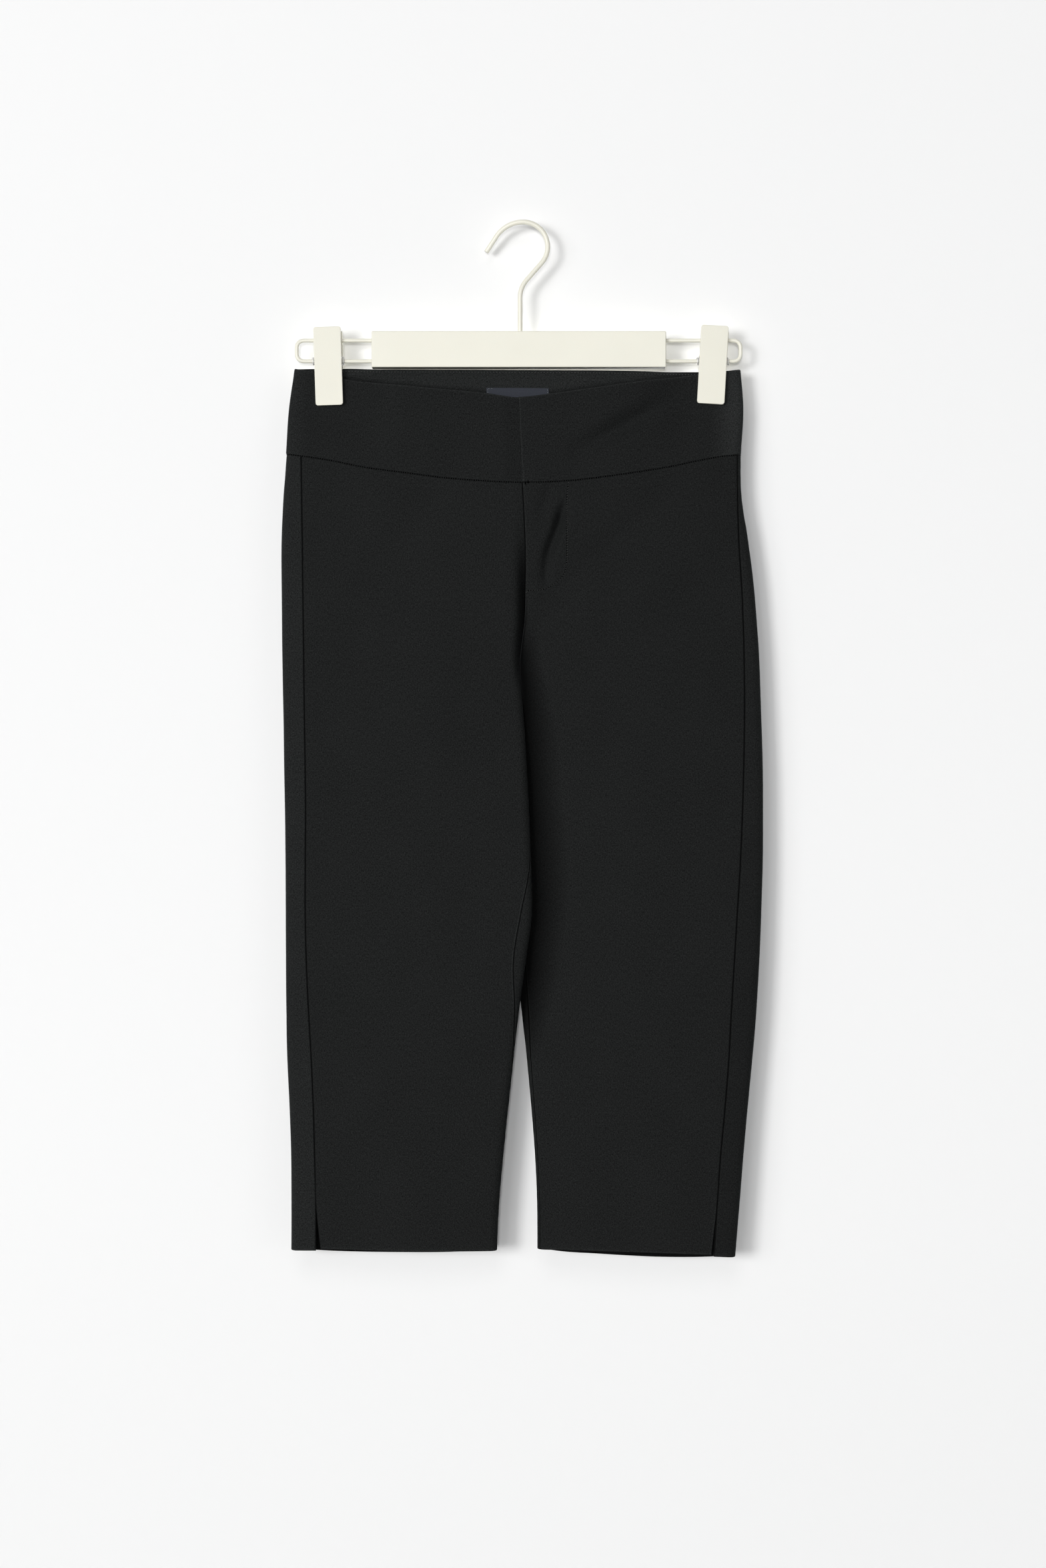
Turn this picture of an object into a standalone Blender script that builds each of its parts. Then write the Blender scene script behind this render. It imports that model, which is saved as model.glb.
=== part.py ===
"""Capri pants on a clip hanger: the cut pieces of the pants, and the hanger that holds them up.

+X is the wearer's left, which is the viewer's right, -Y is the front and +Z is up. The origin is the
underside of the hook's top, where the hanger hangs. Sizes are in millimetres until a mesh is made. Heights
are given as a drop, the distance below the origin.
"""

import math

import bmesh
import bpy
import numpy as np
from mathutils import Matrix, Vector

MM = 0.001

# Cloth
GAP = 0.3            # clearance between pieces that meet
CLOTH = 1.2          # wall of one layer
BAND = 2.4           # wall of the faced waistband
BAND_PROUD = 0.5     # how far the waistband stands out from the legs
FLY_GAP = 0.5        # clearance between the layers behind the fly
UNDERLAP = 28.0      # hidden end of the right waistband, under the lap
LAP_RAMP = 12.0      # width over which that end sinks under the lap
CROTCH = 381.0       # drop of the point where the four legs' pieces meet
OUTER_FOLD = 6.0     # half the thickness at the side folds
INNER_FOLD = 5.0     # half the thickness at the folds between the legs
PINCH = 2.1          # half the thickness of the cloth in a clip, under the waistband's outer layer
PINCH_SIDE = 40.0    # how far beside a clip the cloth takes to spring back
PINCH_BELOW = 46.0   # and how far below it

# The layers sewn over a seam: how far each reaches into the right and the left half, and its drops.
ZIP = {"right": 11.0, "left": 15.0, "bottom": 289.0, "thick": 1.0}
SHIELD = {"right": 14.0, "left": 34.0, "bottom": 292.0, "thick": CLOTH}
LABEL = {"right": 26.0, "left": 25.0, "top": 133.0, "bottom": 154.0, "thick": 1.0}
BELOW_WAIST_SEAM = 2.5    # from the waist seam to the top of the zip and the shield
FROM_CENTRE = 0.4         # the nearest column to a centre seam, in a strip that crosses it

# Hanger
WIRE = 1.6           # radius of the coated wire
BLOCK_X = (-123.5, 115.7)
BLOCK_DROP = (87.8, 117.6)
BLOCK_DEPTH = 13.0
LOOP_DROPS = (95.2, 112.1)   # the two runs of each wire loop
LOOP_ENDS = {"right": -184.6, "left": 176.6}
LOOP_CORNER = 5.4
SOCKET = 9.0         # how far a wire runs into the block
BORE = WIRE + 0.4    # radius of the holes that the wires run in
BLOCK_EDGE = 0.8     # rounding of the block's edges
CLIP_SIZE = (22.3, 2.6, 64.0)
CLIP_TOP = 84.0
CLIP_CORNER = 2.2
CLIP_EDGE = 0.5      # rounding of the plates' edges
CLIP_SPREAD = 3.7    # from the middle plane to a plate's inner face, at the spring
CLIP_CLOSE = 1.28    # degrees by which each plate closes towards its jaw
BACK_PLATE = {"shorter": 2.0, "aside": 0.6, "tilt": 0.8}    # against the front plate; tilt in degrees
SPRING_RADIUS = 3.4
SPRING_LENGTH = 27.0

# The hook: an upright neck, then arcs in order, in degrees from +X, and a straight tail.
HOOK_NECK_X = -2.6
HOOK_ARCS = {
    "bend": {"centre": (18.4, -60.0), "radius": 21.0, "start": 180, "end": 139.2, "points": 6},
    "bow": {"centre": (-0.2, -18.5), "radius": 20.1, "start": -39.5, "end": 90, "points": 13},
    "nose": {"centre": (-0.2, -24.4), "radius": 26.0, "start": 90, "end": 147, "points": 7},
}
HOOK_TAIL = 15.5
HOOK_BACK = 9.0      # how far the tail's end leans back, to the wall

LEVELS = np.arange(115.0, 848.5, 2.5)    # drops at which the rings are worked out
FACE_POINTS = 301      # points across one face of a ring
RING_POINTS = 601      # points round a ring
BEND_SHARE = 26.0      # columns crowd where the cloth bends: a radian counts as this many millimetres
CROTCH_ROW = 0.32      # share of a leg piece's rows above the crotch
LEG_ROWS = {"above": 9, "below": 20, "crowd": 1.3}    # the lower rows crowd towards the crotch
LEG_COLUMNS = {"front": 15, "back": 20}
BAND_ROWS = 6
COLUMN_NAMES = ("x", "y", "nx", "ny", "turn")    # what is read off a ring for each column
BAND_COLUMNS = {"left": 26, "right": 23, "ramp": 4, "underlap": 4}


def table(names, *rows):
    """A dictionary with one array for each named column."""
    return dict(zip(names.split(), np.array(rows, float).T))


# One row for each section of a half: the x of the outer fold, of the centre seam or inner fold, of the
# front piece's and the back piece's edge at the side seam (they part at the slit), how far the inseam lies
# round to the front of the inner fold, how far that fold leans back, and the width of its rounding.
HALVES = {
    "right": table(
        "drop  outer   inner   side    strip   inseam  lean  roll",
        (118, -186.0, -5.0, -180.6, -180.6, 0.0, 0.0, 9.0),
        (150, -190.4, -3.8, -180.6, -180.6, 0.0, 0.0, 9.0),
        (188, -192.8, -2.2, -180.5, -180.5, 0.0, 0.0, 9.0),
        (220, -195.4, -0.4, -180.1, -180.1, 0.0, 0.0, 9.0),
        (260, -197.0, 1.5, -179.5, -179.5, 0.0, 0.0, 9.0),
        (300, -197.0, 1.5, -179.0, -179.0, 0.0, 0.0, 9.0),
        (340, -196.5, -2.8, -178.5, -178.5, 0.0, 0.0, 8.0),
        (381, -195.9, -0.5, -178.0, -178.0, 0.0, 0.0, 6.0),
        (410, -195.3, 1.4, -177.6, -177.6, -1.5, -3.0, 6.0),
        (440, -194.8, 3.2, -177.2, -177.2, -2.0, -5.0, 6.0),
        (480, -194.3, 5.0, -176.8, -176.8, -1.0, -6.0, 6.0),
        (520, -194.0, 6.4, -176.4, -176.4, 3.0, -6.8, 6.0),
        (560, -193.7, 7.2, -176.0, -176.0, 9.0, -7.0, 6.0),
        (600, -193.5, 3.0, -175.6, -175.6, 10.2, -6.5, 6.0),
        (640, -193.0, -4.5, -174.7, -174.7, 6.0, -5.5, 6.0),
        (680, -192.2, -9.3, -172.6, -172.6, 2.8, -4.0, 6.0),
        (720, -190.6, -13.1, -171.2, -171.2, 0.6, -3.0, 6.0),
        (760, -189.4, -17.1, -170.3, -170.3, -1.5, -2.0, 6.0),
        (800, -189.0, -20.3, -169.4, -169.4, -3.0, -1.0, 6.0),
        (842, -189.0, -22.0, -166.0, -169.5, -4.0, 0.0, 6.0),
    ),
    "left": table(
        "drop  outer   inner   side    strip   inseam  lean  roll",
        (118, 175.9, -5.0, 173.6, 173.6, 0.0, 0.0, 9.0),
        (150, 178.4, -3.8, 173.6, 173.6, 0.0, 0.0, 9.0),
        (188, 176.6, -2.2, 173.6, 173.6, 0.0, 0.0, 9.0),
        (220, 177.2, -0.4, 173.8, 173.8, 0.0, 0.0, 9.0),
        (260, 183.0, 1.5, 174.8, 174.8, 0.0, 0.0, 9.0),
        (300, 187.8, 1.5, 177.2, 177.2, 0.0, 0.0, 9.0),
        (340, 191.0, -2.8, 178.7, 178.7, 0.0, 0.0, 9.0),
        (381, 192.8, -0.5, 179.3, 179.3, 0.0, 0.0, 9.0),
        (410, 193.8, 0.2, 179.2, 179.2, 2.0, 3.0, 13.0),
        (440, 194.5, -2.3, 178.7, 178.7, 4.0, 5.0, 17.0),
        (480, 195.0, -5.0, 177.6, 177.6, 7.0, 6.0, 20.0),
        (520, 194.8, -7.0, 175.9, 175.9, 9.0, 6.8, 21.0),
        (560, 193.6, -8.0, 173.5, 173.5, 10.0, 7.0, 20.0),
        (600, 191.9, -6.4, 171.0, 171.0, 10.0, 6.5, 17.0),
        (640, 189.4, -1.2, 168.6, 168.6, 8.0, 5.5, 12.0),
        (680, 186.0, 4.2, 166.5, 166.5, 6.0, 4.0, 8.0),
        (720, 182.4, 7.0, 163.3, 163.3, 4.0, 3.0, 7.0),
        (760, 178.9, 9.6, 159.6, 159.6, 3.0, 2.0, 6.0),
        (800, 175.6, 11.0, 156.8, 156.8, 2.0, 1.0, 6.0),
        (842, 172.1, 11.4, 152.8, 157.0, 1.3, 0.0, 6.0),
    ),
}

# How far the cloth stands out at the middle of its front and back, how deep the centre seams sink between
# the legs (1 is all the way), and how much the section is two legs (1) and not one body (0).
DEPTHS = table(
    "drop  front  back  groove  parted",
    (118, 19.0, 8.0, 0.00, 0.0),
    (150, 19.0, 9.0, 0.00, 0.0),
    (188, 17.5, 12.0, 0.00, 0.0),
    (220, 16.5, 15.0, 0.00, 0.0),
    (260, 15.5, 18.0, 0.00, 0.0),
    (292, 15.0, 19.5, 0.00, 0.1),
    (312, 14.5, 20.0, 0.12, 0.3),
    (345, 14.0, 19.0, 0.45, 0.6),
    (381, 13.5, 17.0, 1.00, 0.9),
    (420, 13.0, 15.0, 1.00, 1.0),
    (520, 12.0, 12.5, 1.00, 1.0),
    (600, 11.5, 12.0, 1.00, 1.0),
    (700, 11.5, 12.0, 1.00, 1.0),
    (780, 12.0, 12.5, 1.00, 1.0),
    (842, 12.5, 13.0, 1.00, 1.0),
)

# The waistband's top edge and the seam under it, at the front and the back.
FRONT_TOP = table(
    "x      drop",
    (-186, 118.4),
    (-171, 121.2),
    (-146, 126.7),
    (-117, 131.2),
    (-78, 135.7),
    (-32, 140.2),
    (-4, 143.6),
    (21, 140.8),
    (52, 136.4),
    (101, 129.1),
    (142, 123.1),
    (176, 118.9),
)
BACK_TOP = table(
    "x      drop",
    (-186, 118.4),
    (-100, 118.2),
    (0, 118.6),
    (90, 120.2),
    (150, 121.0),
    (176, 118.9),
)
FRONT_SEAM = table(
    "x      drop",
    (-193, 188.0),
    (-181, 189.6),
    (-156, 193.7),
    (-130, 199.2),
    (-97, 203.8),
    (-64, 208.2),
    (-38, 210.4),
    (0, 212.0),
    (39, 210.4),
    (79, 205.3),
    (118, 199.0),
    (144, 193.3),
    (162, 189.9),
    (177, 188.4),
)
BACK_SEAM = table(
    "x      drop",
    (-193, 188.0),
    (-100, 190.0),
    (0, 191.0),
    (100, 190.4),
    (177, 188.4),
)

# The hems: the drop at points round a leg, from 0 at the inner fold, over the front, to 1 at the outer fold
# and over the back to 2.
HEMS = {
    "front_right": table("turn drop", (0, 835.3), (0.2, 834.9), (0.55, 834.0), (0.87, 832.8)),
    "back_right": table(
        "turn drop", (0.87, 834.3), (1, 834.9), (1.2, 837.3), (1.5, 838.8), (1.8, 838.0), (2, 835.3)
    ),
    "front_left": table("turn drop", (0, 834.1), (0.12, 833.4), (0.5, 834.6), (0.88, 836.2)),
    "back_left": table(
        "turn drop", (0.88, 839.8), (1, 840.8), (1.2, 842.3), (1.6, 840.5), (1.88, 838.0), (2, 834.1)
    ),
}

# The clips' middles at their tops and jaws, which set their slant.
CLIPS = {
    "right": {"top": -159.8, "jaw": -157.6},
    "left": {"top": 155.5, "jaw": 151.8},
}

# The largest folds, as straight soft ridges (+) and troughs (-) from one end to the other.
FRONT_FOLDS = table(
    "x0     drop0  x1    drop1  height  width",
    (133, 147, 41, 182, -1.8, 10),
    (-62, 212, -128, 290, -1.4, 13),
    (-128, 290, -138, 352, -1.2, 14),
    (10, 312, 112, 226, -1.3, 11),
    (60, 330, 150, 262, 0.9, 16),
    (-70, 420, -96, 560, 0.8, 18),
    (96, 430, 84, 610, 0.8, 20),
)
BACK_FOLDS = table(
    "x0     drop0  x1    drop1  height  width",
    (-20, 372, -120, 300, -1.8, 12),
    (22, 374, 116, 306, -1.6, 13),
    (-30, 400, -140, 372, -1.4, 12),
    (34, 404, 138, 380, -1.2, 12),
    (-92, 440, -100, 620, 0.9, 18),
    (88, 440, 92, 600, 0.9, 18),
)


def curve(xs, ys, x):
    """The smooth curve through (xs, ys), read at x, and level past its ends."""
    slopes = np.gradient(ys, xs)
    x = np.clip(x, xs[0], xs[-1])
    i = np.clip(np.searchsorted(xs, x) - 1, 0, len(xs) - 2)
    span = xs[i + 1] - xs[i]
    t = (x - xs[i]) / span
    near = (1 + 2 * t) * (1 - t) ** 2 * ys[i] + t * (1 - t) ** 2 * span * slopes[i]
    far = (3 - 2 * t) * t * t * ys[i + 1] - t * t * (1 - t) * span * slopes[i + 1]
    return near + far


def soft_step(x):
    """0 below 0, 1 above 1, and smooth between."""
    x = np.clip(x, 0, 1)
    return x * x * (3 - 2 * x)


def quarter_round(x):
    """A quarter circle from 0 at x = 0 to 1 at x = 1."""
    return np.sqrt(1 - (1 - np.clip(x, 0, 1)) ** 2)


def blend(a, b, t):
    return a + (b - a) * t


def relief(folds, x, drop):
    """Height of the folds at the points of one face."""
    height = np.zeros(np.broadcast(x, drop).shape)
    for x0, drop0, x1, drop1, high, width in zip(*folds.values()):
        across, down = x1 - x0, drop1 - drop0
        along = np.clip(((x - x0) * across + (drop - drop0) * down) / (across**2 + down**2), 0, 1)
        away = np.hypot(x - x0 - along * across, drop - drop0 - along * down)
        height += high * (0.35 + 0.65 * np.sin(np.pi * along)) * np.exp(-((away / width) ** 2))
    return height


def clip_middle(side, drop):
    clip = CLIPS[side]
    return blend(clip["top"], clip["jaw"], (drop - CLIP_TOP) / CLIP_SIZE[2])


def pinch(side, x, drop):
    """1 where a clip presses the cloth flat, falling to 0 round it."""
    beside = abs(x - clip_middle(side, drop)) - CLIP_SIZE[0] / 2 - 1
    below = drop - CLIP_TOP - CLIP_SIZE[2] - 2
    return (1 - soft_step(beside / PINCH_SIDE)) * (1 - soft_step(below / PINCH_BELOW))


def ring(side):
    """The half's section at every level, from the centre front over the outer fold to the centre back.

    It holds x, y, the outward direction, the turn (0 to 1 over the front and on to 2 over the back), the
    length along the section and a weight that grows faster where it bends.
    """
    half = HALVES[side]
    cut = {name: curve(half["drop"], half[name], LEVELS)[:, None] for name in half}
    depth = {name: curve(DEPTHS["drop"], DEPTHS[name], LEVELS)[:, None] for name in DEPTHS}
    drop = LEVELS[:, None]
    outwards = -1 if side == "right" else 1
    inner = cut["inner"] + outwards * GAP / 2
    width = abs(cut["outer"] - inner)
    share = (1 - np.cos(np.pi * np.linspace(0, 1, FACE_POINTS))) / 2
    away = width * share
    x = inner + (cut["outer"] - inner) * share

    groove = np.clip(depth["groove"], 0, 1)
    dip = np.sin(np.pi / 2 * np.clip(away / cut["roll"], 0, 1))
    dip = blend(dip, quarter_round(away / cut["roll"]), groove**6)
    edge = quarter_round((width - away) / OUTER_FOLD) * (1 - groove * (1 - dip))
    swell = blend(1 - share**2.2, 4 * share * (1 - share), np.clip(depth["parted"], 0, 1))
    fold = blend(INNER_FOLD, OUTER_FOLD, share)
    press = pinch(side, x, drop)
    middle = cut["lean"] * (1 - share) ** 1.5

    def face(high, folds):
        thick = blend(fold + (high - fold) * swell, PINCH, press)
        return edge * (thick + relief(folds, x, drop) * (1 - press))

    front = middle - face(depth["front"], FRONT_FOLDS)
    back = middle + face(depth["back"], BACK_FOLDS)
    xs = np.concatenate([x, x[:, -2::-1]], axis=1)
    ys = np.concatenate([front, back[:, -2::-1]], axis=1)
    turns = np.concatenate([share, 2 - share[-2::-1]])

    out = {name: [] for name in ("x", "y", "nx", "ny", "turn", "length", "weight")}
    for row_x, row_y in zip(xs, ys):
        length = np.concatenate([[0], np.cumsum(np.hypot(np.diff(row_x), np.diff(row_y)))])
        even = np.linspace(0, length[-1], RING_POINTS)
        ex, ey = np.interp(even, length, row_x), np.interp(even, length, row_y)
        tx, ty = np.gradient(ex, even), np.gradient(ey, even)
        long = np.hypot(tx, ty)
        heading = np.unwrap(np.arctan2(ty, tx))
        bend = np.abs(np.gradient(heading, even))
        steps = np.diff(even) * (1 + BEND_SHARE * (bend[1:] + bend[:-1]) / 2)
        out["x"].append(ex)
        out["y"].append(ey)
        out["nx"].append(outwards * ty / long)
        out["ny"].append(-outwards * tx / long)
        out["turn"].append(np.interp(even, length, turns))
        out["length"].append(even)
        out["weight"].append(np.concatenate([[0], np.cumsum(steps)]))
    out = {name: np.array(rows) for name, rows in out.items()}
    out["cut"] = {name: value[:, 0] for name, value in cut.items()}
    out["width"] = width[:, 0]
    out["inner"] = inner[:, 0]
    return out


def spread(path, start, end, count):
    """The path's columns at every level, from one length to the other, closer together where it bends.

    A length below 0 or past the end runs on round the closed section.
    """
    columns = {name: [] for name in COLUMN_NAMES}
    for level in range(len(LEVELS)):
        length, weight = path["length"][level], path["weight"][level]
        whole, heavy = length[-1], weight[-1]
        lengths = np.concatenate([length[:-1] - whole, length, length[1:] + whole])
        weights = np.concatenate([weight[:-1] - heavy, weight, weight[1:] + heavy])
        ends = np.interp([start[level], end[level]], lengths, weights)
        where = np.linspace(ends[0], ends[1], count)
        for name in COLUMN_NAMES:
            row = path[name][level]
            again = 2.0 if name == "turn" else 0.0
            rows = np.concatenate([row[:-1] - again, row, row[1:] + again])
            columns[name].append(np.interp(where, weights, rows))
    return {name: np.array(rows) for name, rows in columns.items()}


def lay(columns, rows, drop_of):
    """The columns read at each row's drops, as arrays of rows by columns.

    drop_of(row, x, turn) gives the drop of a point, and depends on where that drop puts the point.
    """
    count = columns["x"].shape[1]
    laid = {name: np.zeros((len(rows), count)) for name in ("x", "y", "nx", "ny", "drop")}
    for j in range(count):
        drop = np.full(len(rows), CROTCH)
        for _ in range(6):
            x = np.interp(drop, LEVELS, columns["x"][:, j])
            turn = np.interp(drop, LEVELS, columns["turn"][:, j])
            drop = drop_of(rows, x, turn)
        for name in ("x", "y", "nx", "ny"):
            laid[name][:, j] = np.interp(drop, LEVELS, columns[name][:, j])
        laid["drop"][:, j] = drop
    return laid


def material(name, color, roughness, metallic=0.0):
    made = bpy.data.materials.new(name)
    made.use_nodes = True
    shader = made.node_tree.nodes["Principled BSDF"]
    shader.inputs["Base Color"].default_value = (*color, 1.0)
    shader.inputs["Roughness"].default_value = roughness
    shader.inputs["Metallic"].default_value = metallic
    return made


def add(name, mesh, finish, collection):
    obj = bpy.data.objects.new(name, mesh)
    obj.data.materials.append(finish)
    collection.objects.link(obj)
    return obj


def wall(name, laid, outer, inner, finish, collection):
    """A closed wall through the laid points, from one distance off the form's surface to another."""
    bm = bmesh.new()
    sheets = []
    for off in (outer, inner):
        x = laid["x"] + laid["nx"] * off
        y = laid["y"] + laid["ny"] * off
        points = np.stack([x, y, -laid["drop"]], axis=-1) * MM
        sheets.append([[bm.verts.new(point) for point in row] for row in points])
    out, lining = sheets
    for i in range(len(out) - 1):
        for j in range(len(out[0]) - 1):
            for sheet in sheets:
                bm.faces.new((sheet[i][j], sheet[i + 1][j], sheet[i + 1][j + 1], sheet[i][j + 1]))
    rim = [(i, 0) for i in range(len(out) - 1)]
    rim += [(len(out) - 1, j) for j in range(len(out[0]) - 1)]
    rim += [(i, len(out[0]) - 1) for i in range(len(out) - 1, 0, -1)]
    rim += [(0, j) for j in range(len(out[0]) - 1, 0, -1)]
    for pair in zip(rim, rim[1:] + rim[:1]):
        # Both pieces at a seam split their rims along the same diagonals, so that the rims stay apart.
        (i, j), (k, l) = sorted(pair)
        bm.faces.new((out[i][j], out[k][l], lining[k][l]))
        bm.faces.new((out[i][j], lining[k][l], lining[i][j]))
    bmesh.ops.recalc_face_normals(bm, faces=bm.faces)
    mesh = bpy.data.meshes.new(name)
    bm.to_mesh(mesh)
    bm.free()
    mesh.shade_smooth()
    mesh.set_sharp_from_angle(angle=math.radians(40))
    return add(name, mesh, finish, collection)


def turn_length(path, turn):
    """The length along each level's section at which it reaches a turn."""
    levels = zip(turn, path["turn"], path["length"])
    return np.array([np.interp(wanted, turns, lengths) for wanted, turns, lengths in levels])


def waist_drop(front, back, x, turn):
    """A waist line's drop: the front's line on the front, and the back's behind the fold."""
    on_front = (np.clip(turn, 0, 2) <= 1) | (turn > 2)
    return np.where(on_front, curve(front["x"], front["drop"], x), curve(back["x"], back["drop"], x))


def leg_piece(name, path, start, end, columns, rows, finish, collection):
    hem = HEMS[name]

    def drop_of(row, x, turn):
        top = waist_drop(FRONT_SEAM, BACK_SEAM, x, turn) + GAP / 2
        bottom = curve(hem["turn"], hem["drop"], turn)
        upper = blend(top, CROTCH, row / CROTCH_ROW)
        lower = blend(CROTCH, bottom, (row - CROTCH_ROW) / (1 - CROTCH_ROW))
        return np.where(row < CROTCH_ROW, upper, lower)

    laid = lay(spread(path, start, end, columns), rows, drop_of)
    return wall(name, laid, 0, -CLOTH, finish, collection)


def legs(side, path, finish, collection):
    """The front and back leg pieces of one half."""
    cut = path["cut"]
    whole = path["length"][:, -1]
    seam = turn_length(path, abs(cut["side"] - path["inner"]) / path["width"])
    strip = turn_length(path, abs(cut["strip"] - path["inner"]) / path["width"])
    inseam = np.where(LEVELS > CROTCH, cut["inseam"], 0)
    # Above the crotch the centre line already holds half the gap.
    apart = GAP / 2 * soft_step((LEVELS - CROTCH + 8) / 8)
    lower = np.linspace(0, 1, LEG_ROWS["below"] + 1)[1:] ** LEG_ROWS["crowd"]
    rows = np.concatenate(
        [np.linspace(0, CROTCH_ROW, LEG_ROWS["above"]), CROTCH_ROW + (1 - CROTCH_ROW) * lower]
    )
    pieces = (
        ("front", inseam + apart, seam - GAP / 2),
        ("back", strip + GAP / 2, whole + inseam - apart),
    )
    for face, start, end in pieces:
        leg_piece(f"{face}_{side}", path, start, end, LEG_COLUMNS[face], rows, finish, collection)


def join(*parts):
    """Columns laid side by side."""
    return {name: np.concatenate([part[name] for part in parts], axis=1) for name in COLUMN_NAMES}


def run(path, start, end, count):
    """Evenly spaced columns along a path, from one length to the other, at every level."""
    made = {name: [] for name in COLUMN_NAMES}
    for level in range(len(LEVELS)):
        where = np.linspace(start[level], end[level], count)
        for name in COLUMN_NAMES:
            made[name].append(np.interp(where, path["length"][level], path[name][level]))
    return {name: np.array(rows) for name, rows in made.items()}


def sunk(columns, depth):
    """The columns moved in from the form's surface, each by its depth."""
    moved = dict(columns)
    moved["x"] = columns["x"] - columns["nx"] * depth
    moved["y"] = columns["y"] - columns["ny"] * depth
    return moved


def waistband(side, paths, finish, collection):
    """One half of the waistband. The right half runs on under the lap of the left one."""
    path, count = paths[side], BAND_COLUMNS
    none, whole = np.zeros(len(LEVELS)), path["length"][:, -1]
    if side == "left":
        columns = spread(path, none, whole, count["left"])
    else:
        depth = BAND + GAP
        under = run(paths["left"], none + UNDERLAP, none + FROM_CENTRE, count["underlap"])
        ramp = run(path, none + FROM_CENTRE, none + LAP_RAMP, count["ramp"])
        rest = spread(path, none + LAP_RAMP + 8, whole, count["right"])
        rising = depth * (1 - soft_step(np.linspace(0, 1, count["ramp"])))
        columns = join(sunk(under, depth), sunk(ramp, rising), rest)

    def drop_of(row, x, turn):
        top = waist_drop(FRONT_TOP, BACK_TOP, x, turn)
        bottom = waist_drop(FRONT_SEAM, BACK_SEAM, x, turn) - GAP / 2
        return blend(top, bottom, row)

    laid = lay(columns, np.linspace(0, 1, BAND_ROWS), drop_of)
    return wall(f"waistband_{side}", laid, BAND_PROUD, BAND_PROUD - BAND, finish, collection)


def fly_layer(name, layer, outer, paths, finish, collection):
    """One layer behind the fly, across the centre front seam."""
    none = np.zeros(len(LEVELS))
    right = run(paths["right"], none + layer["right"], none + FROM_CENTRE, 4)
    left = run(paths["left"], none + FROM_CENTRE, none + layer["left"], 4)

    def drop_of(row, x, turn):
        top = curve(FRONT_SEAM["x"], FRONT_SEAM["drop"], x) + BELOW_WAIST_SEAM
        return blend(top, layer["bottom"], row)

    laid = lay(join(right, left), np.linspace(0, 1, 5), drop_of)
    return wall(name, laid, outer, outer - layer["thick"], finish, collection)


def fly(paths, finishes, collection):
    """The zip's tape behind the fly, and the shield behind that."""
    outer = -CLOTH - FLY_GAP
    fly_layer("fly_zip", ZIP, outer, paths, finishes["zip"], collection)
    outer -= ZIP["thick"] + FLY_GAP
    fly_layer("fly_shield", SHIELD, outer, paths, finishes["cloth"], collection)


def label(paths, finish, collection):
    """The label on the inside of the back waistband, across the centre back."""
    ends = {side: path["length"][:, -1] for side, path in paths.items()}
    right = run(paths["right"], ends["right"] - LABEL["right"], ends["right"] - FROM_CENTRE, 4)
    left = run(paths["left"], ends["left"] - FROM_CENTRE, ends["left"] - LABEL["left"], 4)

    def drop_of(row, x, turn):
        return blend(LABEL["top"], LABEL["bottom"], row)

    laid = lay(join(right, left), np.linspace(0, 1, 3), drop_of)
    outer = BAND_PROUD - BAND - GAP
    return wall("label", laid, outer, outer - LABEL["thick"], finish, collection)


def arc(centre, radius, start, end, points):
    """Points on an arc in the XZ plane, angles in degrees from +X."""
    angles = np.radians(np.linspace(start, end, points))
    return [(centre[0] + radius * math.cos(a), centre[1] + radius * math.sin(a)) for a in angles]


def wire(name, points, finish, collection):
    """A round wire through points."""
    made = bpy.data.curves.new(name, "CURVE")
    made.dimensions = "3D"
    made.bevel_depth = WIRE * MM
    made.bevel_resolution = 2
    made.use_fill_caps = True
    spline = made.splines.new("POLY")
    spline.points.add(len(points) - 1)
    for point, place in zip(spline.points, points):
        point.co = (*[v * MM for v in place], 1)
    return add(name, made, finish, collection)


def hook(finish, collection):
    """The hook: a neck, a bend, a slant, the bow that hangs, and a flatter nose with a straight tail."""
    points = [(HOOK_NECK_X, -BLOCK_DROP[0] - SOCKET), (HOOK_NECK_X, -BLOCK_DROP[0])]
    points += arc(**HOOK_ARCS["bend"]) + arc(**HOOK_ARCS["bow"]) + arc(**HOOK_ARCS["nose"])[1:]
    end = math.radians(HOOK_ARCS["nose"]["end"])
    x, z = points[-1]
    tip = x - HOOK_TAIL * math.sin(end)
    points.append((tip, z + HOOK_TAIL * math.cos(end)))
    bend = HOOK_ARCS["bend"]["centre"][1]
    line = [(x, HOOK_BACK * max(x / tip, 0) ** 1.5 if z > bend / 2 else 0, z) for x, z in points]
    return wire("hook_wire", line, finish, collection)


def loop(side, finish, collection):
    """A wire loop from the block out to its end and back."""
    high, low = -LOOP_DROPS[0], -LOOP_DROPS[1]
    block = BLOCK_X[0] if side == "right" else BLOCK_X[1]
    out = -1 if side == "right" else 1
    end = LOOP_ENDS[side] - out * LOOP_CORNER
    inside = block - out * (SOCKET - 1)
    turn = (90, 180) if side == "right" else (90, 0)
    back = (180, 270) if side == "right" else (0, -90)
    points = [(inside, high)]
    points += arc((end, high - LOOP_CORNER), LOOP_CORNER, *turn, 5)
    points += arc((end, low + LOOP_CORNER), LOOP_CORNER, *back, 5)
    points.append((inside, low))
    return wire(f"loop_wire_{side}", [(x, 0, z) for x, z in points], finish, collection)


def box(name, size, middle, finish, collection):
    bm = bmesh.new()
    bmesh.ops.create_cube(bm, size=1.0)
    bmesh.ops.scale(bm, vec=Vector(size) * MM, verts=bm.verts)
    mesh = bpy.data.meshes.new(name)
    bm.to_mesh(mesh)
    bm.free()
    obj = add(name, mesh, finish, collection)
    obj.location = Vector(middle) * MM
    return obj


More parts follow.
